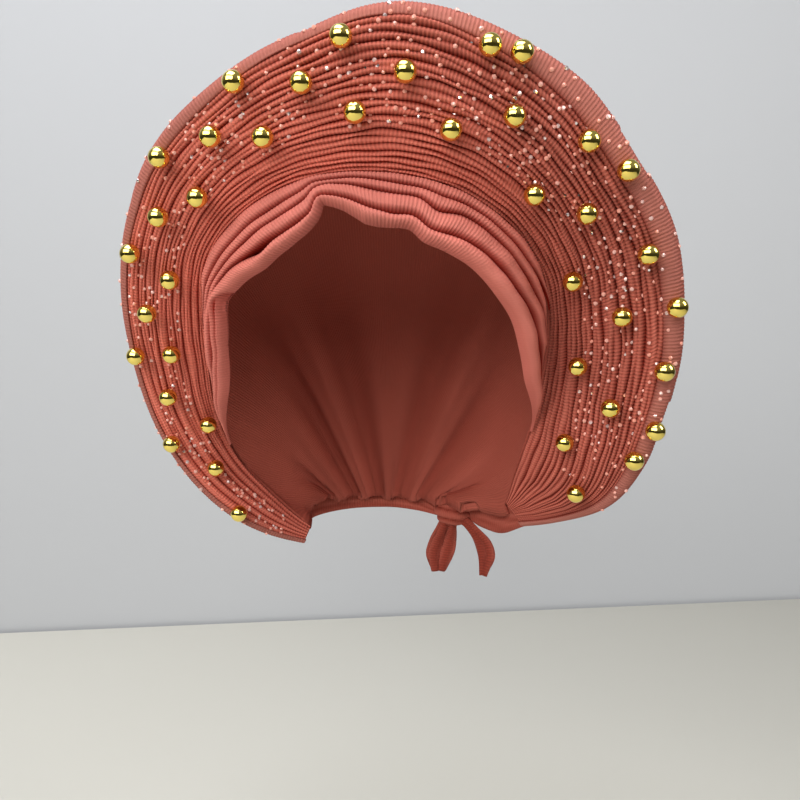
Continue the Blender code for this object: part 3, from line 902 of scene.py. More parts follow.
def brim_course(number, finish):
    """Seven of the brim's pleats, whose first and last edges tuck down behind their neighbours."""
    count = PLEATS // COURSES
    first = number * count
    cuts = [first + pleat + cut for pleat in range(count) for cut in PLEAT_CUTS] + [first + count]
    lips = len(ROOT_LIP) if number == 0 else 0
    lines = np.array([cuts[0]] * (lips + 1) + cuts + [cuts[-1]])
    middle = first + count / 2

    def middle_line(turn):
        return brim_base(turn, pleat_out(turn, middle))

    turns, ribs = ribs_along(middle_line, BRIM_LEFT, BRIM_RIGHT, BRIM_RIB_CUTS)
    slip = RIB_SLIP * RIB_WANDER(turns[:, None], lines[None, :])
    held = smooth_step(np.minimum(ribs, ribs[-1] - ribs) / HELD_RIBS)[:, None]
    turn = turns[:, None] + slip * held
    ribs = ribs[:, None] + 0 * lines[None, :]
    out, lift = pleated_front(turn, lines[None, :], ribs)
    plain_out, plain_lift = pleated_front(turn, lines[None, :], 0.5 + 0 * ribs)
    lift[:, [lips, -1]] = TUCK_LIFT
    out[:, lips] -= TUCK
    out[:, -1] += TUCK
    for column_number in range(lips):
        out[:, column_number], lift[:, column_number] = ROOT_LIP[column_number]
    front = brim_point(turn, out, lift)
    flat = flat_size(brim_point(turn, plain_out, plain_lift)[::BRIM_RIB_CUTS])
    behind = -CLOTH - BACK_HOLLOW * np.maximum(plain_lift, 0)
    behind[:, :lips] = ROOT_LIP_BACK
    back = brim_point(*(grid[::BRIM_RIB_CUTS, ::2] for grid in (turn, out, behind)))
    marks = {
        "rib": ribs,
        "across": out,
        # Painted shade: the pleats are darker in their grooves, and their tone holds painted light and shade.
        "crest": pleat_profile(turn, lines[None, :]),
        "tone": TONE_WANDER(turn, np.floor(lines)[None, :]) + painted_brim_shade(turn, lines[None, :]),
    }
    piece = cloth_piece(f"brim_pleats_{number + 1}", front, back, marks, finish)
    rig.replaces(piece, "pleated_brim")
    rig.slot(piece, "pleat_cloth")
    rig.sheet(piece, flat=flat, held="gathered", rests_on=["crown_cap"])


RIM_CUTS = np.array([0, 0.004, 0.012, 0.03, 0.07, 0.12, 0.17, 0.2, 0.25, 0.3,
                     0.35, 0.4, 0.46, 0.53, 0.6, 0.7, 0.8, 0.9, 1])
RIM_EDGE = ((0, 0.004, 0.012, 0.03, 0.07), (-2.4, -1.3, -0.6, -0.15, 0))
BAND_WAVE = Wander(seed=21, rows=1, waves=(67, 31, 17))
RIM_RIB_HEIGHT = 0.28
# Painted light and shade along the band, by turn, added to its random mottle.
BAND_TURNS = (-53, -20, 10, 35, 60, 90, 130, 247)
BAND_PAINTED_SHADING = (-2, -2.4, -2.4, -0.5, 0.2, 0, -2, -2.5)
BAND_MOTTLE = 0.6
BAND_WAVE_LIFT = 0.35
# The roll is thinner past this turn, over this many degrees.
ROLL_TURN = 180
ROLL_RUN = 25
# How strongly the band's ribs show, and how light it is as painted shade: darkest at its tucked inner edge and darker
# over the back of the roll, at shares of the way over the rim.
RIM_RIBBED = ((0, 0.03, 0.9, 1), (0, 1, 1, 0))
RIM_CRESTS = ((0, 0.02, 0.1, 0.3, 0.5), (0, 0.5, 1, 0.9, 0.5))


def rim_profile(share, band, roll, behind):
    """The outermost turn in section, as (out past the rim line, lift): its band, roll and hem behind."""
    front = np.interp(share, (0, ROLL_START), (1, 0)) * (roll - band)
    angle = np.interp(share, (ROLL_START, ROLL_END), (0, math.pi))
    back = np.interp(share, (ROLL_END, 1), (0, 1)) * behind
    out = front + roll * np.sin(angle) - back - roll
    lift = RIM_LIFT - roll * (1 - np.cos(angle)) + HEM_RISE * back
    return out, lift


def rim_line(turn, share):
    """Where the outermost turn of the cloth runs, and how far it stands off the brim's middle surface."""
    width = rim_width(turn)
    thinner = ROLL_LESS * smooth_step((turn - ROLL_TURN) / ROLL_RUN)
    roll = np.minimum(RIM_ROLL - thinner, ROLL_SHARE * width)
    behind = np.clip(RETURN_SHARE * (width - TIED_WIDTH), LEAST_RETURN, RIM_RETURN)
    out, lift = rim_profile(share, BAND(turn) + BAND_OVERLAP, roll, behind)
    wave = BAND_WAVE_LIFT * BAND_WAVE(turn, 0.0) * smooth_step(1 - share / ROLL_START)
    return width + out, lift + np.interp(share, *RIM_EDGE) + wave


def rim_point(turn, share):
    return brim_point(turn, *rim_line(turn, share))


def rim_turn(finish):
    """The smooth outermost turn of the cloth, rolled over the rim, with its ribs across it."""

    def rim_crest(turn):
        return rim_point(turn, ROLL_START)

    turns, ribs = ribs_along(rim_crest, BRIM_LEFT, BRIM_RIGHT)
    turn = turns[:, None] + 0 * RIM_CUTS[None, :]
    base = rim_point(turn, RIM_CUTS[None, :])
    normals = grid_normals(base)
    shown = np.interp(RIM_CUTS, *RIM_RIBBED)[None, :, None]
    front = base + normals * RIM_RIB_HEIGHT * shown * (rib_height(ribs)[:, None, None] - 1)
    back = (base - normals * RIM_CLOTH)[::RIB_CUTS, ::2]
    marks = {
        "rib": ribs[:, None],
        "across": run_along(base[len(base) // 2])[None, :],
        "crest": np.interp(RIM_CUTS, *RIM_CRESTS)[None, :],
        "tone": BAND_MOTTLE * BAND_WAVE(turn, 0.5) + np.interp(turn, BAND_TURNS, BAND_PAINTED_SHADING),
    }
    piece = cloth_piece("rim_band", front, back, marks, finish)
    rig.replaces(piece, "rim_fold")
    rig.slot(piece, "pleat_cloth")
    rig.sheet(piece, flat=flat_size(base[::RIB_CUTS]), held="folded", rests_on=["brim_pleats_3"])


FOLD_CUTS = np.array([0, 0, 0.02, 0.06, 0.11, 0.16, 0.2, 0.24, 0.28, 0.33,
                      0.4, 0.48, 0.56, 0.64, 0.72, 0.8, 0.9, 1, 1])
FOLD_WAVE = Wander(seed=31, rows=len(FOLD_RUNS), waves=(47, 23, 12))
FOLD_RIB_HEIGHT = 0.3
FOLD_LIP = 1.8
LIP_SHARE = 0.3
END_TAPER = 0.95
END_RUN = 19.0
END_SINK = 0.15
BACK_CREASE = 0.6
# How far the hem of the lowest fold is drawn in, in mm.
DRAWN_TURNS = (-30, 10, 50, 69, 76, 84, 92, 98, 105, 112, 117, 130, 146, 158, 163, 180, 200, 212)
DRAWN = (0, 0, 0.2, 0.8, 1.8, 1.6, 0.8, 0.8, 4.2, 4.0, 1.6, 1.6, 1.0, 1.6, 3.6, 3.8, 3.6, 3.0)
# The pocket where the lowest fold dips away from the next, and the corner where it turns down.
POCKET_TURN = 140.0
POCKET_RUN = 5.0
POCKET_DEPTH = 0.36
CORNER_TURN = 159.0
CORNER_SLANT = 12.0
CORNER_STEP = 1.5
CORNER_RUN = 1.2
CORNER_EASE = 9.0
CREASE_SHARE = 0.24
CREASE_WIDTH = 0.055
CREASE_DEPTH = 1.3
CREASE_RUN = 4
CREASE_END = 206
CREASE_END_RUN = 10
# Painted shade in the lowest fold's crease.
CREASE_SHADE = 0.5
CREASED = 0.2
STEP_END = 0.6
STEP_FADE = 0.2
# How light the folds are, as painted light and shade, and how strongly their ribs show, by turn.
FOLD_TURNS = (-30, 0, 40, 60, 90, 120, 160, 185, 212)
FOLD_PAINTED_SHADING = (0, 1.5, 3.5, 1.5, -0.8, 0, 1.6, 0.5, 0)
FOLD_RIBBED = (0.15, 0.15, 0.4, 0.9, 1, 1, 0.9, 0.55, 0.5)
# How light a fold is from its lower lip to its top, as painted shade: darkest at its lip and where it tucks under the
# fold above; the lowest hem, and the folds over it.
SHADE_STATIONS = (0, 0.05, 0.2, 0.65, 0.87, 1)
FOLD_SHADES = ((0.6, 0.8, 1, 0.92, 0.5, 0), (0, 0.2, 0.95, 0.92, 0.5, 0))
TOP_OVERLAP = 0.9
TOP_EDGE = -1.2
# How steeply a fold rises from its lower lip and how softly it falls to its top.
ARCH_RISE = 0.42
ARCH_FALL = 0.62
CREST_WAVE = 0.16
LIP_SHARPNESS = 5
LIP_LIFT = 0.9
EDGE_TUCK = -0.6
# How strongly a fold's ribs show from its lower lip to its top.
FOLD_RIBS = ((0, 0.06, 0.95, 1), (0, 1, 1, 0))


def fold_arch(share):
    """A fold in section: it rises steeply from its lower lip and falls softly under the next fold."""
    arch = share ** ARCH_RISE * (1 - share) ** ARCH_FALL
    crest = ARCH_RISE / (ARCH_RISE + ARCH_FALL)
    return arch / (crest ** ARCH_RISE * (1 - crest) ** ARCH_FALL)


def fold_creases(turn, share):
    """How deep the lowest fold is creased: a step at its corner, and a crease along it from there down."""
    past = turn - CORNER_TURN - CORNER_SLANT * share
    step = CORNER_STEP * smooth_step(past / CORNER_RUN) * np.exp(-np.maximum(past, 0) / CORNER_EASE)
    below = smooth_step(past / CREASE_RUN) * smooth_step((CREASE_END - turn) / CREASE_END_RUN)
    crease = CREASE_DEPTH * np.exp(-((share - CREASE_SHARE) / CREASE_WIDTH) ** 2) * below
    return step * smooth_step((STEP_END - share) / STEP_FADE) + crease


def brow_width(turn):
    return section_way(turn, HEM, ROOT)[0] - ROOT_GAP


def brow_base(turn, outwards):
    """The band under the brow folds, outwards mm from its hem."""
    _, way_reach, way_depth = section_way(turn, HEM, ROOT)
    reach = HEM_REACH(turn) + outwards * way_reach
    return place(turn, reach, HEM_DEPTH(turn) + outwards * way_depth)


def brow_fold(number, finish):
    """One of the draped folds at the brow, whose lower lip hangs over the fold below it."""
    run = FOLD_RUNS[number]

    def inside(turn):
        to_end = np.minimum(run.left_turn - turn, turn - run.right_turn)
        return smooth_step(to_end / END_RUN)

    def limits(turn):
        lower = GROOVES[number - 1](turn) if number else 0 * turn
        upper = GROOVES[number](turn) if number < len(GROOVES) else 0 * turn + 1
        width = brow_width(turn)
        foot, top = lower * width + SEAM_GAP / 2, upper * width - SEAM_GAP / 2
        foot = foot + (number == 0) * np.interp(turn, DRAWN_TURNS, DRAWN)
        top = top + (number == len(GROOVES)) * TOP_OVERLAP
        return foot + (top - foot) * END_TAPER * (1 - inside(turn)), top

    def middle_line(turn):
        return brow_base(turn, sum(limits(turn)) / 2)

    turns, ribs = ribs_along(middle_line, run.left_turn, run.right_turn)
    turn = turns[:, None] + 0 * FOLD_CUTS[None, :]
    share = FOLD_CUTS[None, :]
    foot, top = limits(turn)
    wave = 1 + CREST_WAVE * FOLD_WAVE(turn, number)
    crest = np.minimum(run.crest, CREST_SHARE * (top - foot)) * wave * inside(turn)
    sink = FOLD_SINK * (END_SINK + (1 - END_SINK) * inside(turn)) + 0 * share
    lip = np.minimum(FOLD_LIP, LIP_SHARE * (top - foot)) * (1 - share) ** LIP_SHARPNESS * (number > 0)
    out = foot + (top - foot) * share - lip
    full = 1 - (number == 0) * POCKET_DEPTH * np.exp(-((turn - POCKET_TURN) / POCKET_RUN) ** 2)
    shown_share = np.clip(share / full, 0, 1)
    crease = (number == 0) * fold_creases(turn, share)
    lift = (crest + sink) * fold_arch(shown_share) + LIP_LIFT * lip - sink - crease
    for edge in (0, -1):
        lift[:, edge] = EDGE_TUCK - sink[:, 0]
    if number == len(GROOVES):
        lift[:, -1] = TOP_EDGE
    base = lifted(brow_base, turn, out, lift)
    normals = grid_normals(base)
    ribbed = np.interp(turn, FOLD_TURNS, FOLD_RIBBED)
    shown = np.interp(FOLD_CUTS, *FOLD_RIBS)[None, :, None] * ribbed[..., None]
    front = base + normals * FOLD_RIB_HEIGHT * shown * (rib_height(ribs)[:, None, None] - 1)
    behind = -sink - FOLD_CLOTH - BACK_CREASE * (crease > CREASED)
    back = lifted(brow_base, turn, out, behind)[::RIB_CUTS, ::2]
    # Painted shade under the lips, at the tucked tops and in the crease goes into the crest mark.
    shade = np.interp(shown_share, SHADE_STATIONS, FOLD_SHADES[number > 0])
    marks = {
        "rib": ribs[:, None],
        "across": out,
        "crest": shade * (1 - CREASE_SHADE * crease),
        "tone": FOLD_WAVE(turn, number + 0.5) + np.interp(turn, FOLD_TURNS, FOLD_PAINTED_SHADING),
        "ribbed": ribbed,
    }
    piece = cloth_piece(f"draped_fold_{number + 1}", front, back, marks, finish)
    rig.replaces(piece, f"brow_fold_{number + 1}")
    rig.slot(piece, "brow_cloth")
    below = f"draped_fold_{number}" if number else "crown_cap"
    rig.sheet(piece, **cut_of(base[::RIB_CUTS]), held="folded", rests_on=[below])


CAP_LINES = (301, 91)
SMALL_GATHERS = 19
SMALL_GATHER_DEPTH = 0.7
# The small gathers crowd and part again by this much, at this rate along the cap.
CROWDING = 3
CROWDING_RATE = 5


def hollow_radius(ways):
    """How far the hollow reaches from its centre: an ellipsoid above it, a taper to the nape below it."""
    level = np.hypot(ways[..., 0] / HOLLOW_HALF[0], ways[..., 1] / HOLLOW_HALF[1])
    above = np.hypot(level, np.maximum(ways[..., 2], 0) / HOLLOW_HALF[2])
    return 1 / (above + NAPE_TAPER * np.minimum(ways[..., 2], 0) ** 2)


def hollow_ways(points):
    """How far points lie from the hollow's centre, and the unit ways to them."""
    offsets = points - HOLLOW_CENTRE
    far = np.linalg.norm(offsets, axis=-1)
    return far, offsets / far[..., None]


def table_turn(rows, first, last, share):
    """Turns from first to last, as close together as the rows of the table are."""
    turns = np.array([row.turn for row in rows], float)
    numbers = np.arange(len(turns), dtype=float)
    ends = np.interp((first, last), turns, numbers)
    return np.interp(ends[0] + (ends[1] - ends[0]) * share, numbers, turns)


def cap_surface(along, across):
    """The cap: each line along runs from the brim's root over the crown to the gathered nape."""
    turn = table_turn(BRIM_SECTIONS, BRIM_LEFT, BRIM_RIGHT, along)
    side = 2 * along - 1
    front = place(turn, ROOT_REACH(turn), ROOT_DEPTH(turn) + CAP_BEHIND_ROOT)
    nape_depth = NAPE_DEPTH - NAPE_CURVE * side**2
    nape = np.stack([NAPE_HALF_WIDTH * side, nape_depth, NAPE_Z + 0 * side], axis=-1)
    front_far, front_way = hollow_ways(front)
    nape_far, nape_way = hollow_ways(nape)
    over_share = smooth_step((np.sin(np.radians(turn)) - OVER_FROM) / (OVER_FULL - OVER_FROM))
    over = np.stack([OVER_WAY[0] * side, OVER_WAY[1] + 0 * side, OVER_WAY[2] + 0 * side], axis=-1)
    t = across[..., None]
    middle = (front_way + nape_way) / 2 + over_share[..., None] * over
    way = (1 - t) ** 2 * front_way + 2 * t * (1 - t) * middle + t**2 * nape_way
    way = unit(way)
    ease = HOLLOW_EASE + CLOTH
    front_off = (front_far - hollow_radius(front_way) - ease) * (1 - smooth_step(across / FULL_SIDES))
    towards_nape = smooth_step((across - NAPE_START) / (1 - NAPE_START))
    nape_off = (nape_far - hollow_radius(nape_way) - ease) * towards_nape
    gathered = smooth_step((across - GATHER_START) / (GATHER_FULL - GATHER_START))
    gather = GATHER_DEPTH * np.cos(2 * math.pi * GATHERS * along) * gathered
    small = np.sin(2 * math.pi * SMALL_GATHERS * along + CROWDING * np.sin(CROWDING_RATE * along))
    gather = gather + SMALL_GATHER_DEPTH * small * gathered**2
    far = hollow_radius(way) + ease + front_off + nape_off + gather
    return HOLLOW_CENTRE + way * far[..., None], gather * gathered


HEM_DROPS = (2.0, 4.0, 6.0)
HEM_LEFT = 0.2
HEM_FLARE = 0.45
CAP_BACK_STEP = 3
# Painted light and shade on the cap: its colour lies this far towards the crest colour, darker in the hollows of its
# gathers and lighter on their ridges.
CAP_CREST = 0.75
GATHER_SHADE = 0.1


def hemmed(grid):
    """A grid with its side edges and its last row repeated, to be turned down as a hem."""
    rows = len(HEM_DROPS)
    grid = np.concatenate([np.repeat(grid[:1], rows, axis=0), grid, np.repeat(grid[-1:], rows, axis=0)])
    return np.concatenate([grid, np.repeat(grid[:, -1:], rows, axis=1)], axis=1)


def cap(finish):
    along, across = grid_shares(*CAP_LINES)
    front, gather = cap_surface(along, across)
    normals = hemmed(grid_normals(front))
    front, gather, along = (hemmed(grid) for grid in (front, gather, along))
    drop = np.zeros(front.shape[:2])
    edges = [(len(HEM_DROPS) - number, step) for number, step in enumerate(HEM_DROPS, start=1)]
    for edge, step in edges:
        drop[edge] = drop[-1 - edge] = step
    deeper = HEM_LEFT + (1 - HEM_LEFT) * along
    drop = drop * deeper
    front[..., 0] += HEM_FLARE * drop * (2 * along - 1)
    for edge, step in edges:
        drop[:, -1 - edge] = np.maximum(drop[:, -1 - edge], step * deeper[:, -1])
    front[..., 2] -= drop
    back = (front - normals * CLOTH)[::CAP_BACK_STEP, ::CAP_BACK_STEP]
    marks = {
        "rib": run_along(front)[:, CAP_LINES[1] // 2][:, None] / RIB,
        "across": run_along(front, axis=1),
        "crest": np.clip(CAP_CREST + GATHER_SHADE * gather, 0, 1),
        "tone": 0 * along,
    }
    piece = cloth_piece("cap", front, back, marks, finish)
    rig.replaces(piece, "crown_cap")
    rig.slot(piece, "cap_cloth")
    width, length = flat_size(front)
    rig.sheet(piece, flat=(length, width), held="gathered")


# A strap's cuts to each row of its table and over its width, and the creases that run along it.
STRAP_CUTS = (24, 19)
STRAP_WAVE = 0.7
STRAP_CREASES = 3
STRAP_SHIFT = 0.35
STRAP_SHIFT_RATE = 4
STRAP_WIDTH = 15
BACK_SHARE = 0.3
# Painted light and shade on the straps and loose ends: lighter where their creases stand out, darker where they sink.
STRAP_CREST = 0.7
CREASE_LIGHT = 0.5


def strap(name, node, rows, finish):
    """A strap between its top line and its foot line, drawn into soft creases along its length."""
    along, across = grid_shares(STRAP_CUTS[0] * len(rows) + 1, STRAP_CUTS[1])
    at = columns_along(rows, along)
    top = np.stack([at.top_x, at.top_depth, at.top_z], axis=-1)
    foot = np.stack([at.foot_x, at.foot_depth, at.foot_z], axis=-1)
    base = top + (foot - top) * across[..., None]
    normals = grid_normals(base)
    creases = STRAP_CREASES * across + STRAP_SHIFT * np.sin(STRAP_SHIFT_RATE * along)
    crease = STRAP_WAVE * np.sin(2 * math.pi * creases) * np.sin(math.pi * across) ** 0.5
    front = base + normals * crease[..., None]
    back = (base - normals * (STRAP_CLOTH - BACK_SHARE * crease[..., None]))[::2, ::2]
    marks = {
        "rib": run_along(base[:, STRAP_CUTS[1] // 2])[:, None] / RIB,
        "across": STRAP_WIDTH * across,
        "crest": np.clip(STRAP_CREST + CREASE_LIGHT * crease, 0, 1),
        "tone": 0 * across,
    }
    piece = cloth_piece(name, front, back, marks, finish)
    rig.replaces(piece, node)
    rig.slot(piece, "cap_cloth")
    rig.sheet(piece, flat=flat_size(front), held="stretched", rests_on=["tied_knot"])


TAIL_CUTS = (41, 61)
TAIL_FOLDS = 2.2
TAIL_WAVE = 1.5
# How far round the folds turn on their way down, and how softly they end at the sides.
TAIL_TURN = 2.2
TAIL_SIDES = 0.4
# How much painted light and shade the loose ends' folds take.
FOLD_LIGHT = 0.3
TAIL_MIDDLE = 10


def tail(name, node, rows, finish):
    """A loose end that hangs from the knot in soft folds and narrows to its foot."""
    along, across = grid_shares(*TAIL_CUTS)
    at = columns_along(rows, across)
    angle = np.radians(at.turn)
    aside = at.width * (along - 0.5)
    fold = TAIL_WAVE * np.sin(2 * math.pi * TAIL_FOLDS * (along - 0.5) + TAIL_TURN * across)
    fold = fold * np.sin(math.pi * along) ** TAIL_SIDES
    sheet = np.stack([at.x + aside * np.cos(angle), at.depth + aside * np.sin(angle), at.z], axis=-1)
    normals = grid_normals(sheet)
    front = sheet + normals * fold[..., None]
    back = (front - grid_normals(front) * STRAP_CLOTH)[::2, ::2]
    marks = {
        "rib": run_along(sheet[TAIL_CUTS[0] // 2])[None, :] / RIB,
        "across": aside + TAIL_MIDDLE,
        "crest": np.clip(STRAP_CREST + FOLD_LIGHT * fold, 0, 1),
        "tone": 0 * across,
    }
    piece = cloth_piece(name, front, back, marks, finish)
    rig.replaces(piece, node)
    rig.slot(piece, "cap_cloth")
    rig.sheet(piece, **cut_of(front), held="hung", rests_on=["tied_knot"])


KNOT_LINES = (64, 32)
KNOT_TURNS = 5
KNOT_CREASE = 0.09
# How far its turns slant once and twice round it, how much they swell it and how round they are.
KNOT_SLANTS = (1.0, 0.5)
KNOT_SWELL = 1.6
KNOT_ROUNDNESS = 0.7
# Ribs and mm to each radian round the knot and down it.
KNOT_RIBS = 9
KNOT_ACROSS = 10


def knot(finish):
    """The tied knot: a lump of wound cloth whose turns run slantwise round it."""
    around = np.linspace(0, 2 * math.pi, KNOT_LINES[0], endpoint=False)[:, None]
    down = np.linspace(0, math.pi, KNOT_LINES[1] + 1)[None, 1:-1]
    slant = KNOT_TURNS * down + KNOT_SLANTS[0] * np.sin(around) + KNOT_SLANTS[1] * np.sin(2 * around)
    crease = np.abs(np.sin(slant)) ** KNOT_ROUNDNESS
    swell = 1 - KNOT_CREASE + KNOT_CREASE * KNOT_SWELL * crease * np.sin(down)
    level = np.sin(down)
    ways = np.stack([level * np.cos(around), level * np.sin(around), np.cos(down) + 0 * around], axis=-1)
    points = (KNOT_CENTRE + ways * KNOT_HALF * swell[..., None]).reshape(-1, 3)
    poles = KNOT_CENTRE + np.array([[0, 0, 1.0], [0, 0, -1.0]]) * KNOT_HALF * (1 - KNOT_CREASE)
    numbers = np.arange(len(points)).reshape(KNOT_LINES[0], -1)
    closed = np.concatenate([numbers, numbers[:1]])
    top, bottom = len(points), len(points) + 1
    poles_round = [(top, here, there) for here, there in zip(closed[:-1, 0], closed[1:, 0])]
    poles_round += [(bottom, there, here) for here, there in zip(closed[:-1, -1], closed[1:, -1])]
    every_point = np.concatenate([points, poles])
    mesh = mesh_of("tied_knot", every_point, grid_quads(closed)[:, ::-1], np.array(poles_round))
    mark(mesh, "rib", np.append((KNOT_RIBS * around + 0 * down).ravel(), [0, 0]))
    mark(mesh, "across", np.append((KNOT_ACROSS * down + 0 * around).ravel(), [0, 0]))
    # Painted shade: the knot is darker in the creases between its turns.
    mark(mesh, "crest", np.append(crease.ravel(), [1, 1]))
    mark(mesh, "tone", np.zeros(len(points) + 2))
    mark(mesh, "ribbed", np.ones(len(points) + 2))
    piece = show("tied_knot", mesh, finish)
    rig.replaces(piece, "nape_knot")
    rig.slot(piece, "cap_cloth")
    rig.padded(piece, fill=0.9)


def deselect():
    """Everything deselected, so that an operator acts on the new piece alone."""
    if bpy.context.object and bpy.context.object.mode != "OBJECT":
        bpy.ops.object.mode_set(mode="OBJECT")
    bpy.ops.object.select_all(action="DESELECT")


def pick_faces(piece, wanted):
    """Selects a mesh's faces by their middle and normal, in edit mode."""
    bpy.ops.object.mode_set(mode="OBJECT")
    for face in piece.data.polygons:
        face.select = wanted(face.center, face.normal)
    bpy.ops.object.mode_set(mode="EDIT")
    bpy.ops.mesh.select_mode(type="FACE")


BEAD_SEGMENTS = 32
BEAD_RINGS = 18
BEAD_HOLE = 1.3
BEAD_HOLE_DEPTH = 1.6
BEAD_POLE = 0.985


def bead_pattern():
    """A round bead at the origin, with the mouths of its drilled hole at both ends of its Z axis."""
    deselect()
    radius = BEAD_DIAMETER / 2 * MM
    bpy.ops.mesh.primitive_uv_sphere_add(segments=BEAD_SEGMENTS, ring_count=BEAD_RINGS, radius=radius)
    bead = bpy.context.object
    for side in (1, -1):
        bpy.ops.object.mode_set(mode="EDIT")
        bpy.ops.mesh.select_all(action="DESELECT")
        pick_faces(bead, lambda middle, normal: middle.z * side > BEAD_POLE * radius)
        ring = radius * math.sin(math.pi / BEAD_RINGS)
        shrink = BEAD_HOLE / 2 * MM / ring
        bpy.ops.transform.resize(value=(shrink, shrink, 1))
        bpy.ops.mesh.extrude_region_move()
        bpy.ops.transform.translate(value=(0, 0, -side * BEAD_HOLE_DEPTH * MM))
    bpy.ops.object.mode_set(mode="OBJECT")
    bead.data.shade_smooth()
    return bead


def gold_beads(finish):
    """A bead in each place that the frame holds for one, its hole along the pleats. Returns the centres."""
    pattern = bead_pattern()
    centres = []
    for number in range(1, BEADS + 1):
        node = f"gold_bead_{number:02d}"
        low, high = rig.box(node)
        centre = (low + high) / 2
        centres.append(centre / MM)
        outward = Vector((centre.x, 0, centre.z - FACE_CENTRE_Z * MM)).normalized()
        hole = outward.cross(Vector((0, 1, 0)))
        mesh = pattern.data.copy()
        mesh.transform(Matrix.Translation(centre) @ hole.to_track_quat("Z", "Y").to_matrix().to_4x4())
        piece = show(f"bead_{number:02d}", mesh, finish)
        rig.replaces(piece, node)
        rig.slot(piece, "gold_plate")
    bpy.data.objects.remove(pattern)
    return np.array(centres)


STONE_DIAMETER = 2.2
STONE_HEIGHT = 1.1
STONE_SIDES = 8
# A stone's girdle as a share of its height, and its table as a share of its girdle.
GIRDLE_SHARE = 0.3
TABLE_SHARE = 0.52
FACING_UP = 0.9
STONE_SEED = 41
STONE_TILT = 0.5
STONE_SIZES = (0.8, 1.1)
STONE_SHADE = 0.38
SHADE_SPREAD = 0.33
BEAD_CLEAR = 6.3

STRING_SEED = 42
FIRST_STRING = 8
# The strings' distances from the brim's two ends, in degrees.
STRING_ENDS = (16.0, 9)
STRING_STEP = 5.6
STRING_STEPS = (0.7, 1.35)
STRING_CLEAR = -0.18
STRING_STRAY = 0.16
# A string has stones where its wandering and its zone together pass this limit: the zone is fullest at
# one turn, and grows again towards the tie.
STRING_LIMIT = 0.22
STRING_ZONE = (0.1, 0.25)
FULLEST_TURN = 60
TIE_ZONE = 0.17
TIE_TURN = 195
TIE_RUN = 25

# The stones on the outermost turn of the cloth, in two rows: their first and last turn, their step in mm
# and the reach at which it is measured, how many degrees they stray, and their shares of the way over it.
StoneRow = namedtuple("StoneRow", "first last step reach stray shares")
STONE_ROWS = (
    StoneRow(BRIM_RIGHT + 14, BRIM_LEFT - 8, 13.0, 145, 2.5, (0.26, 0.42)),
    StoneRow(BRIM_RIGHT + 20, 92, 9.0, 140, 1.6, (0.06, 0.2)),
)
NUDGE_TURN = 0.05
NUDGE_SHARE = 0.01
STONE_SINK = 0.1


def stone_pattern():
    """A cut stone at the origin: a flat back, a girdle and eight facets up to its table."""
    deselect()
    radius = STONE_DIAMETER / 2 * MM
    height = STONE_HEIGHT * MM
    bpy.ops.mesh.primitive_cylinder_add(vertices=STONE_SIDES, radius=radius, depth=height * GIRDLE_SHARE)
    stone = bpy.context.object
    pick_faces(stone, lambda middle, normal: normal.z > FACING_UP)
    bpy.ops.mesh.extrude_region_move()
    bpy.ops.transform.translate(value=(0, 0, height * (1 - GIRDLE_SHARE)))
    bpy.ops.transform.resize(value=(TABLE_SHARE, TABLE_SHARE, 1))
    bpy.ops.mesh.select_all(action="SELECT")
    bpy.ops.mesh.quads_convert_to_tris()
    bpy.ops.object.mode_set(mode="OBJECT")
    return stone


def string_spots():
    """Where the small stones lie on the pleats, as (turn, pleat), in broken strings along the pleats."""
    draw = np.random.default_rng(STRING_SEED)
    strings = Wander(seed=STRING_SEED, rows=PLEATS + 1, waves=(37, 19, 11))
    spots = []
    for line in range(FIRST_STRING, PLEATS + 1):
        turn = BRIM_RIGHT + STRING_ENDS[0]
        while turn < BRIM_LEFT - STRING_ENDS[1]:
            middle = place(turn, (ROOT_REACH(turn) + RIM_REACH(turn)) / 2, 0)
            reach = np.hypot(middle[0], middle[2] - FACE_CENTRE_Z)
            turn += math.degrees(STRING_STEP * draw.uniform(*STRING_STEPS) / reach)
            zone = STRING_ZONE[0] + STRING_ZONE[1] * math.cos(math.radians(turn - FULLEST_TURN))
            zone += TIE_ZONE * min(max((turn - TIE_TURN) / TIE_RUN, 0), 1)
            if strings(turn, float(line)) + zone > STRING_LIMIT:
                spots.append((turn, line + draw.normal(0, STRING_STRAY)))
    return np.array(spots)


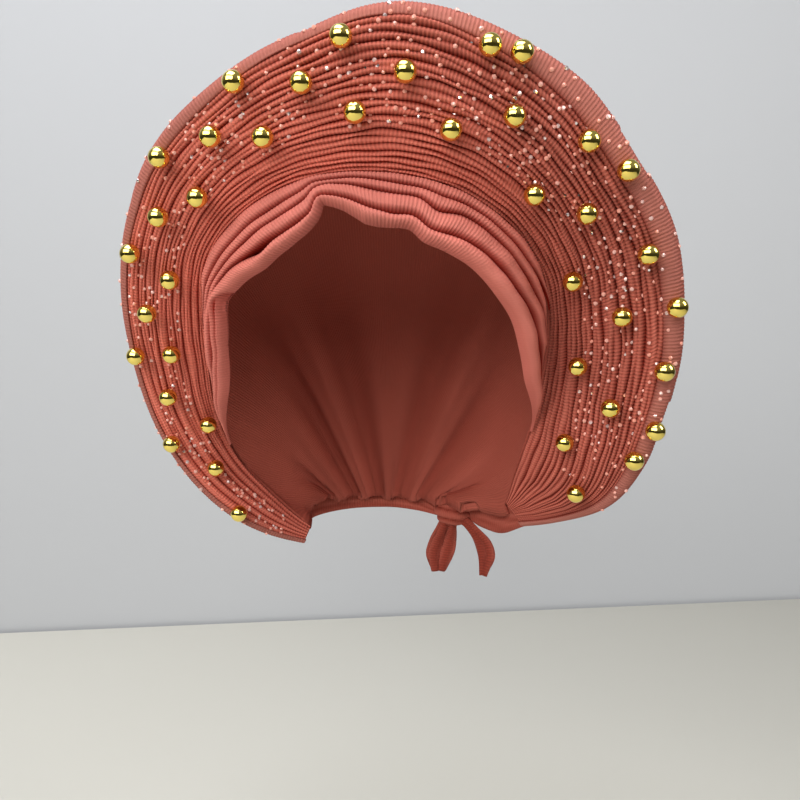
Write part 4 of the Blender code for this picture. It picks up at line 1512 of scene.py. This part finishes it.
def small_stones(finish, bead_centres):
    """All the small stones, joined into one mesh for each third of the brim."""
    draw = np.random.default_rng(STONE_SEED)
    pattern = stone_pattern()
    corners = np.array([vertex.co for vertex in pattern.data.vertices]) / MM
    faces = np.array([list(face.vertices) for face in pattern.data.polygons])
    bpy.data.objects.remove(pattern)

    spots = string_spots()
    out, lift = pleated_front(spots[:, 0], spots[:, 1], 0.5 + 0 * spots[:, 0])
    seats = brim_point(spots[:, 0], out, lift + STRING_CLEAR)
    normals = surface_normal(brim_base, spots[:, 0], out)

    row_turns = []
    for row in STONE_ROWS:
        turns = np.arange(row.first, row.last, math.degrees(row.step / row.reach))
        row_turns.append(turns + draw.uniform(-row.stray, row.stray, len(turns)))
    row_shares = [draw.uniform(*row.shares, len(turns)) for row, turns in zip(STONE_ROWS, row_turns)]
    for turns, shares in zip(row_turns, row_shares):
        here, before, after = (rim_point(turns + nudge, shares) for nudge in (0, -NUDGE_TURN, NUDGE_TURN))
        facing = unit(np.cross(before - after, rim_point(turns, shares + NUDGE_SHARE) - here))
        seats = np.concatenate([seats, here - STONE_SINK * facing])
        normals = np.concatenate([normals, facing])
    far = np.linalg.norm(seats[:, None] - bead_centres[None], axis=-1).min(axis=1)
    kept = far > BEAD_CLEAR
    seats, normals = seats[kept], normals[kept]

    ways = unit(normals + STONE_TILT * draw.uniform(-1, 1, normals.shape))
    sides = unit(np.cross(ways, draw.normal(size=ways.shape)))
    frames = np.stack([sides, np.cross(ways, sides), ways], axis=1)
    sizes = draw.uniform(*STONE_SIZES, len(seats))
    shades = np.clip(draw.normal(STONE_SHADE, SHADE_SPREAD, len(seats)), 0, 1)
    thirds = np.array_split(np.argsort(seats[:, 0]), 3)
    for number, chosen in enumerate(thirds, start=1):
        placed = np.einsum("vk,nkx->nvx", corners, frames[chosen])
        points = seats[chosen, None] + sizes[chosen, None, None] * placed
        shifted = faces[None] + len(corners) * np.arange(len(chosen))[:, None, None]
        no_quads = np.zeros((0, 4), int)
        mesh = mesh_of(f"stones_{number}", points.reshape(-1, 3), no_quads, shifted.reshape(-1, 3))
        mesh.shade_flat()
        mark(mesh, "tone", np.repeat(shades[chosen], len(corners)))
        piece = show(f"stones_{number}", mesh, finish)
        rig.slot(piece, "gold_plate")


# The stage and its lamps, in metres.
FLOOR_Z = -0.532
WALL_Y = 0.773
WALL_TURN = math.radians(6.9)
TABLE_WIDTH = 3.4
TABLE_DEPTH = 1.9
WALL_WIDTH = 3.4
WALL_HEIGHT = 5.0
TABLE_GAP = 0.006


def board(name, width, depth, finish, **stand):
    """A flat board of the stage, which is laid out round the origin and then moved to its place."""
    deselect()
    bpy.ops.mesh.primitive_plane_add(size=1, **stand)
    piece = bpy.context.object
    piece.name = name
    piece.scale = (width, depth, 1)
    bpy.ops.object.transform_apply(location=True, rotation=True, scale=True)
    piece.data.materials.append(finish)
    piece.data.transform(Matrix.Translation((0, WALL_Y, FLOOR_Z)) @ Matrix.Rotation(WALL_TURN, 4, "Z"))
    return piece


def stage():
    """A pale table top and, well behind it, a pale wall that runs slightly away to the right."""
    # The table top takes painted shade towards the right and the wall painted light towards the right.
    wood = plain_finish("table_top_board", (0.535, 0.52, 0.465), scale=2.0, depth=0.0002, fade=-0.2)
    middle = (0, -TABLE_DEPTH / 2 - TABLE_GAP, 0)
    table = board("table_top", TABLE_WIDTH, TABLE_DEPTH, wood, location=middle)
    paint = plain_finish("wall_paint", (0.50, 0.51, 0.525), scale=1.5, depth=0.0001, fade=0.11)
    wall = board("wall", WALL_WIDTH, WALL_HEIGHT, paint, rotation=(math.radians(90), 0, 0))
    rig.stage(table, wall)


Lamp = namedtuple("Lamp", "name place size power colour")
LAMPS = (
    Lamp("window_low", (-0.85, -1.5, 0.8), (2.3, 1.05), 37.0, (1.0, 0.98, 0.945)),
    Lamp("window_high", (-0.35, -0.4, 1.45), (1.5, 1.0), 25.0, (0.95, 0.98, 1.06)),
    Lamp("window_right", (1.35, -0.45, 0.75), (0.6, 0.8), 10.0, (1.0, 0.98, 0.95)),
)
AIM = Vector((0, 0, -0.1))
# How light the room is, from 0 level with the head tie to 1 straight above it.
ROOM_STOPS = (
    (0.0, (0.05, 0.05, 0.04, 1)),
    (0.75, (0.34, 0.35, 0.34, 1)),
    (0.2, (0.16, 0.16, 0.16, 1)),
    (0.5, (0.3, 0.3, 0.3, 1)),
)
ROOM_STRENGTH = 0.8
HAZE = (0.60, 0.61, 0.61, 1)


def lamps():
    for lamp in LAMPS:
        light = bpy.data.lights.new(lamp.name, "AREA")
        light.shape = "RECTANGLE"
        light.size, light.size_y = lamp.size
        light.energy = lamp.power
        light.color = lamp.colour
        holder = bpy.data.objects.new(lamp.name, light)
        holder.location = lamp.place
        holder.rotation_euler = (AIM - Vector(lamp.place)).to_track_quat("-Z", "Y").to_euler()
        bpy.context.scene.collection.objects.link(holder)


def room():
    """The room's own light, with a plain haze where nothing stands behind the stage."""
    world = bpy.data.worlds.new("room")
    world.use_nodes = True
    bpy.context.scene.world = world
    nodes = world.node_tree.nodes
    glow = nodes["Background"]
    glow.inputs["Strength"].default_value = ROOM_STRENGTH
    haze = nodes.new("ShaderNodeBackground")
    haze.inputs["Color"].default_value = HAZE
    direction = nodes.new("ShaderNodeTexCoord")
    parts = nodes.new("ShaderNodeSeparateXYZ")
    ramp = nodes.new("ShaderNodeValToRGB")
    ray = nodes.new("ShaderNodeLightPath")
    either = nodes.new("ShaderNodeMixShader")
    stops = ramp.color_ramp.elements
    for number, (height, colour) in enumerate(ROOM_STOPS):
        stop = stops[number] if number < 2 else stops.new(height)
        stop.position = height
        stop.color = colour
    for output, socket in (
        (direction.outputs["Generated"], parts.inputs[0]),
        (parts.outputs["Z"], ramp.inputs["Fac"]),
        (ramp.outputs["Color"], glow.inputs["Color"]),
        (ray.outputs["Is Camera Ray"], either.inputs[0]),
        (glow.outputs[0], either.inputs[1]),
        (haze.outputs[0], either.inputs[2]),
        (either.outputs[0], nodes["World Output"].inputs["Surface"]),
    ):
        world.node_tree.links.new(output, socket)


def camera():
    lens = bpy.data.cameras.new("camera")
    lens.lens = CAMERA_LENS
    holder = bpy.data.objects.new("camera", lens)
    holder.location = CAMERA_PLACE
    holder.rotation_euler = (math.radians(90 - CAMERA_PITCH), 0, 0)
    bpy.context.scene.collection.objects.link(holder)
    bpy.context.scene.camera = holder


# Each cloth's colour on its crests, its painted shade colour in its grooves, and how much painted shade darkens it
# between its ribs.
CLOTHS = {
    "pleat_cloth_terracotta": ((0.76, 0.205, 0.145, 1), (0.29, 0.012, 0.003, 1), 0.55),
    # The band takes darker, duller colours than the pleats.
    "band_cloth_faded": ((0.52, 0.18, 0.14, 1), (0.24, 0.018, 0.007, 1), 0.3),
    "brow_cloth_coral": ((0.70, 0.215, 0.17, 1), (0.24, 0.009, 0.003, 1), 0.32),
    "cap_cloth_coral": ((0.42, 0.10, 0.07, 1), (0.20, 0.02, 0.01, 1), 0.3),
}


def main():
    camera()
    bpy.context.scene.view_settings.view_transform = "Standard"
    stage()
    lamps()
    room()
    cloths = {name: cloth_finish(name, *looks) for name, looks in CLOTHS.items()}
    pleat_cloth, band_cloth, brow_cloth, cap_cloth = cloths.values()
    for number in range(COURSES):
        brim_course(number, pleat_cloth)
    rim_turn(band_cloth)
    for number in range(len(FOLD_RUNS)):
        brow_fold(number, brow_cloth)
    cap(cap_cloth)
    knot(cap_cloth)
    strap("strap_left", "nape_strap_left", LEFT_STRAP, cap_cloth)
    strap("strap_right", "nape_strap_right", RIGHT_STRAP, cap_cloth)
    tail("loose_end_side", "tie_tail_side", SIDE_TAIL, cap_cloth)
    tail("loose_end_back", "tie_tail_back", BACK_TAIL, cap_cloth)
    bead_centres = gold_beads(gold_finish())
    small_stones(stone_finish(), bead_centres)


main()

with open("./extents.json", "w") as file:
    sides = {"cad": cad_bounds, "visual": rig.bounds()}
    json.dump({name: [list(corner) for corner in corners] for name, corners in sides.items()}, file)
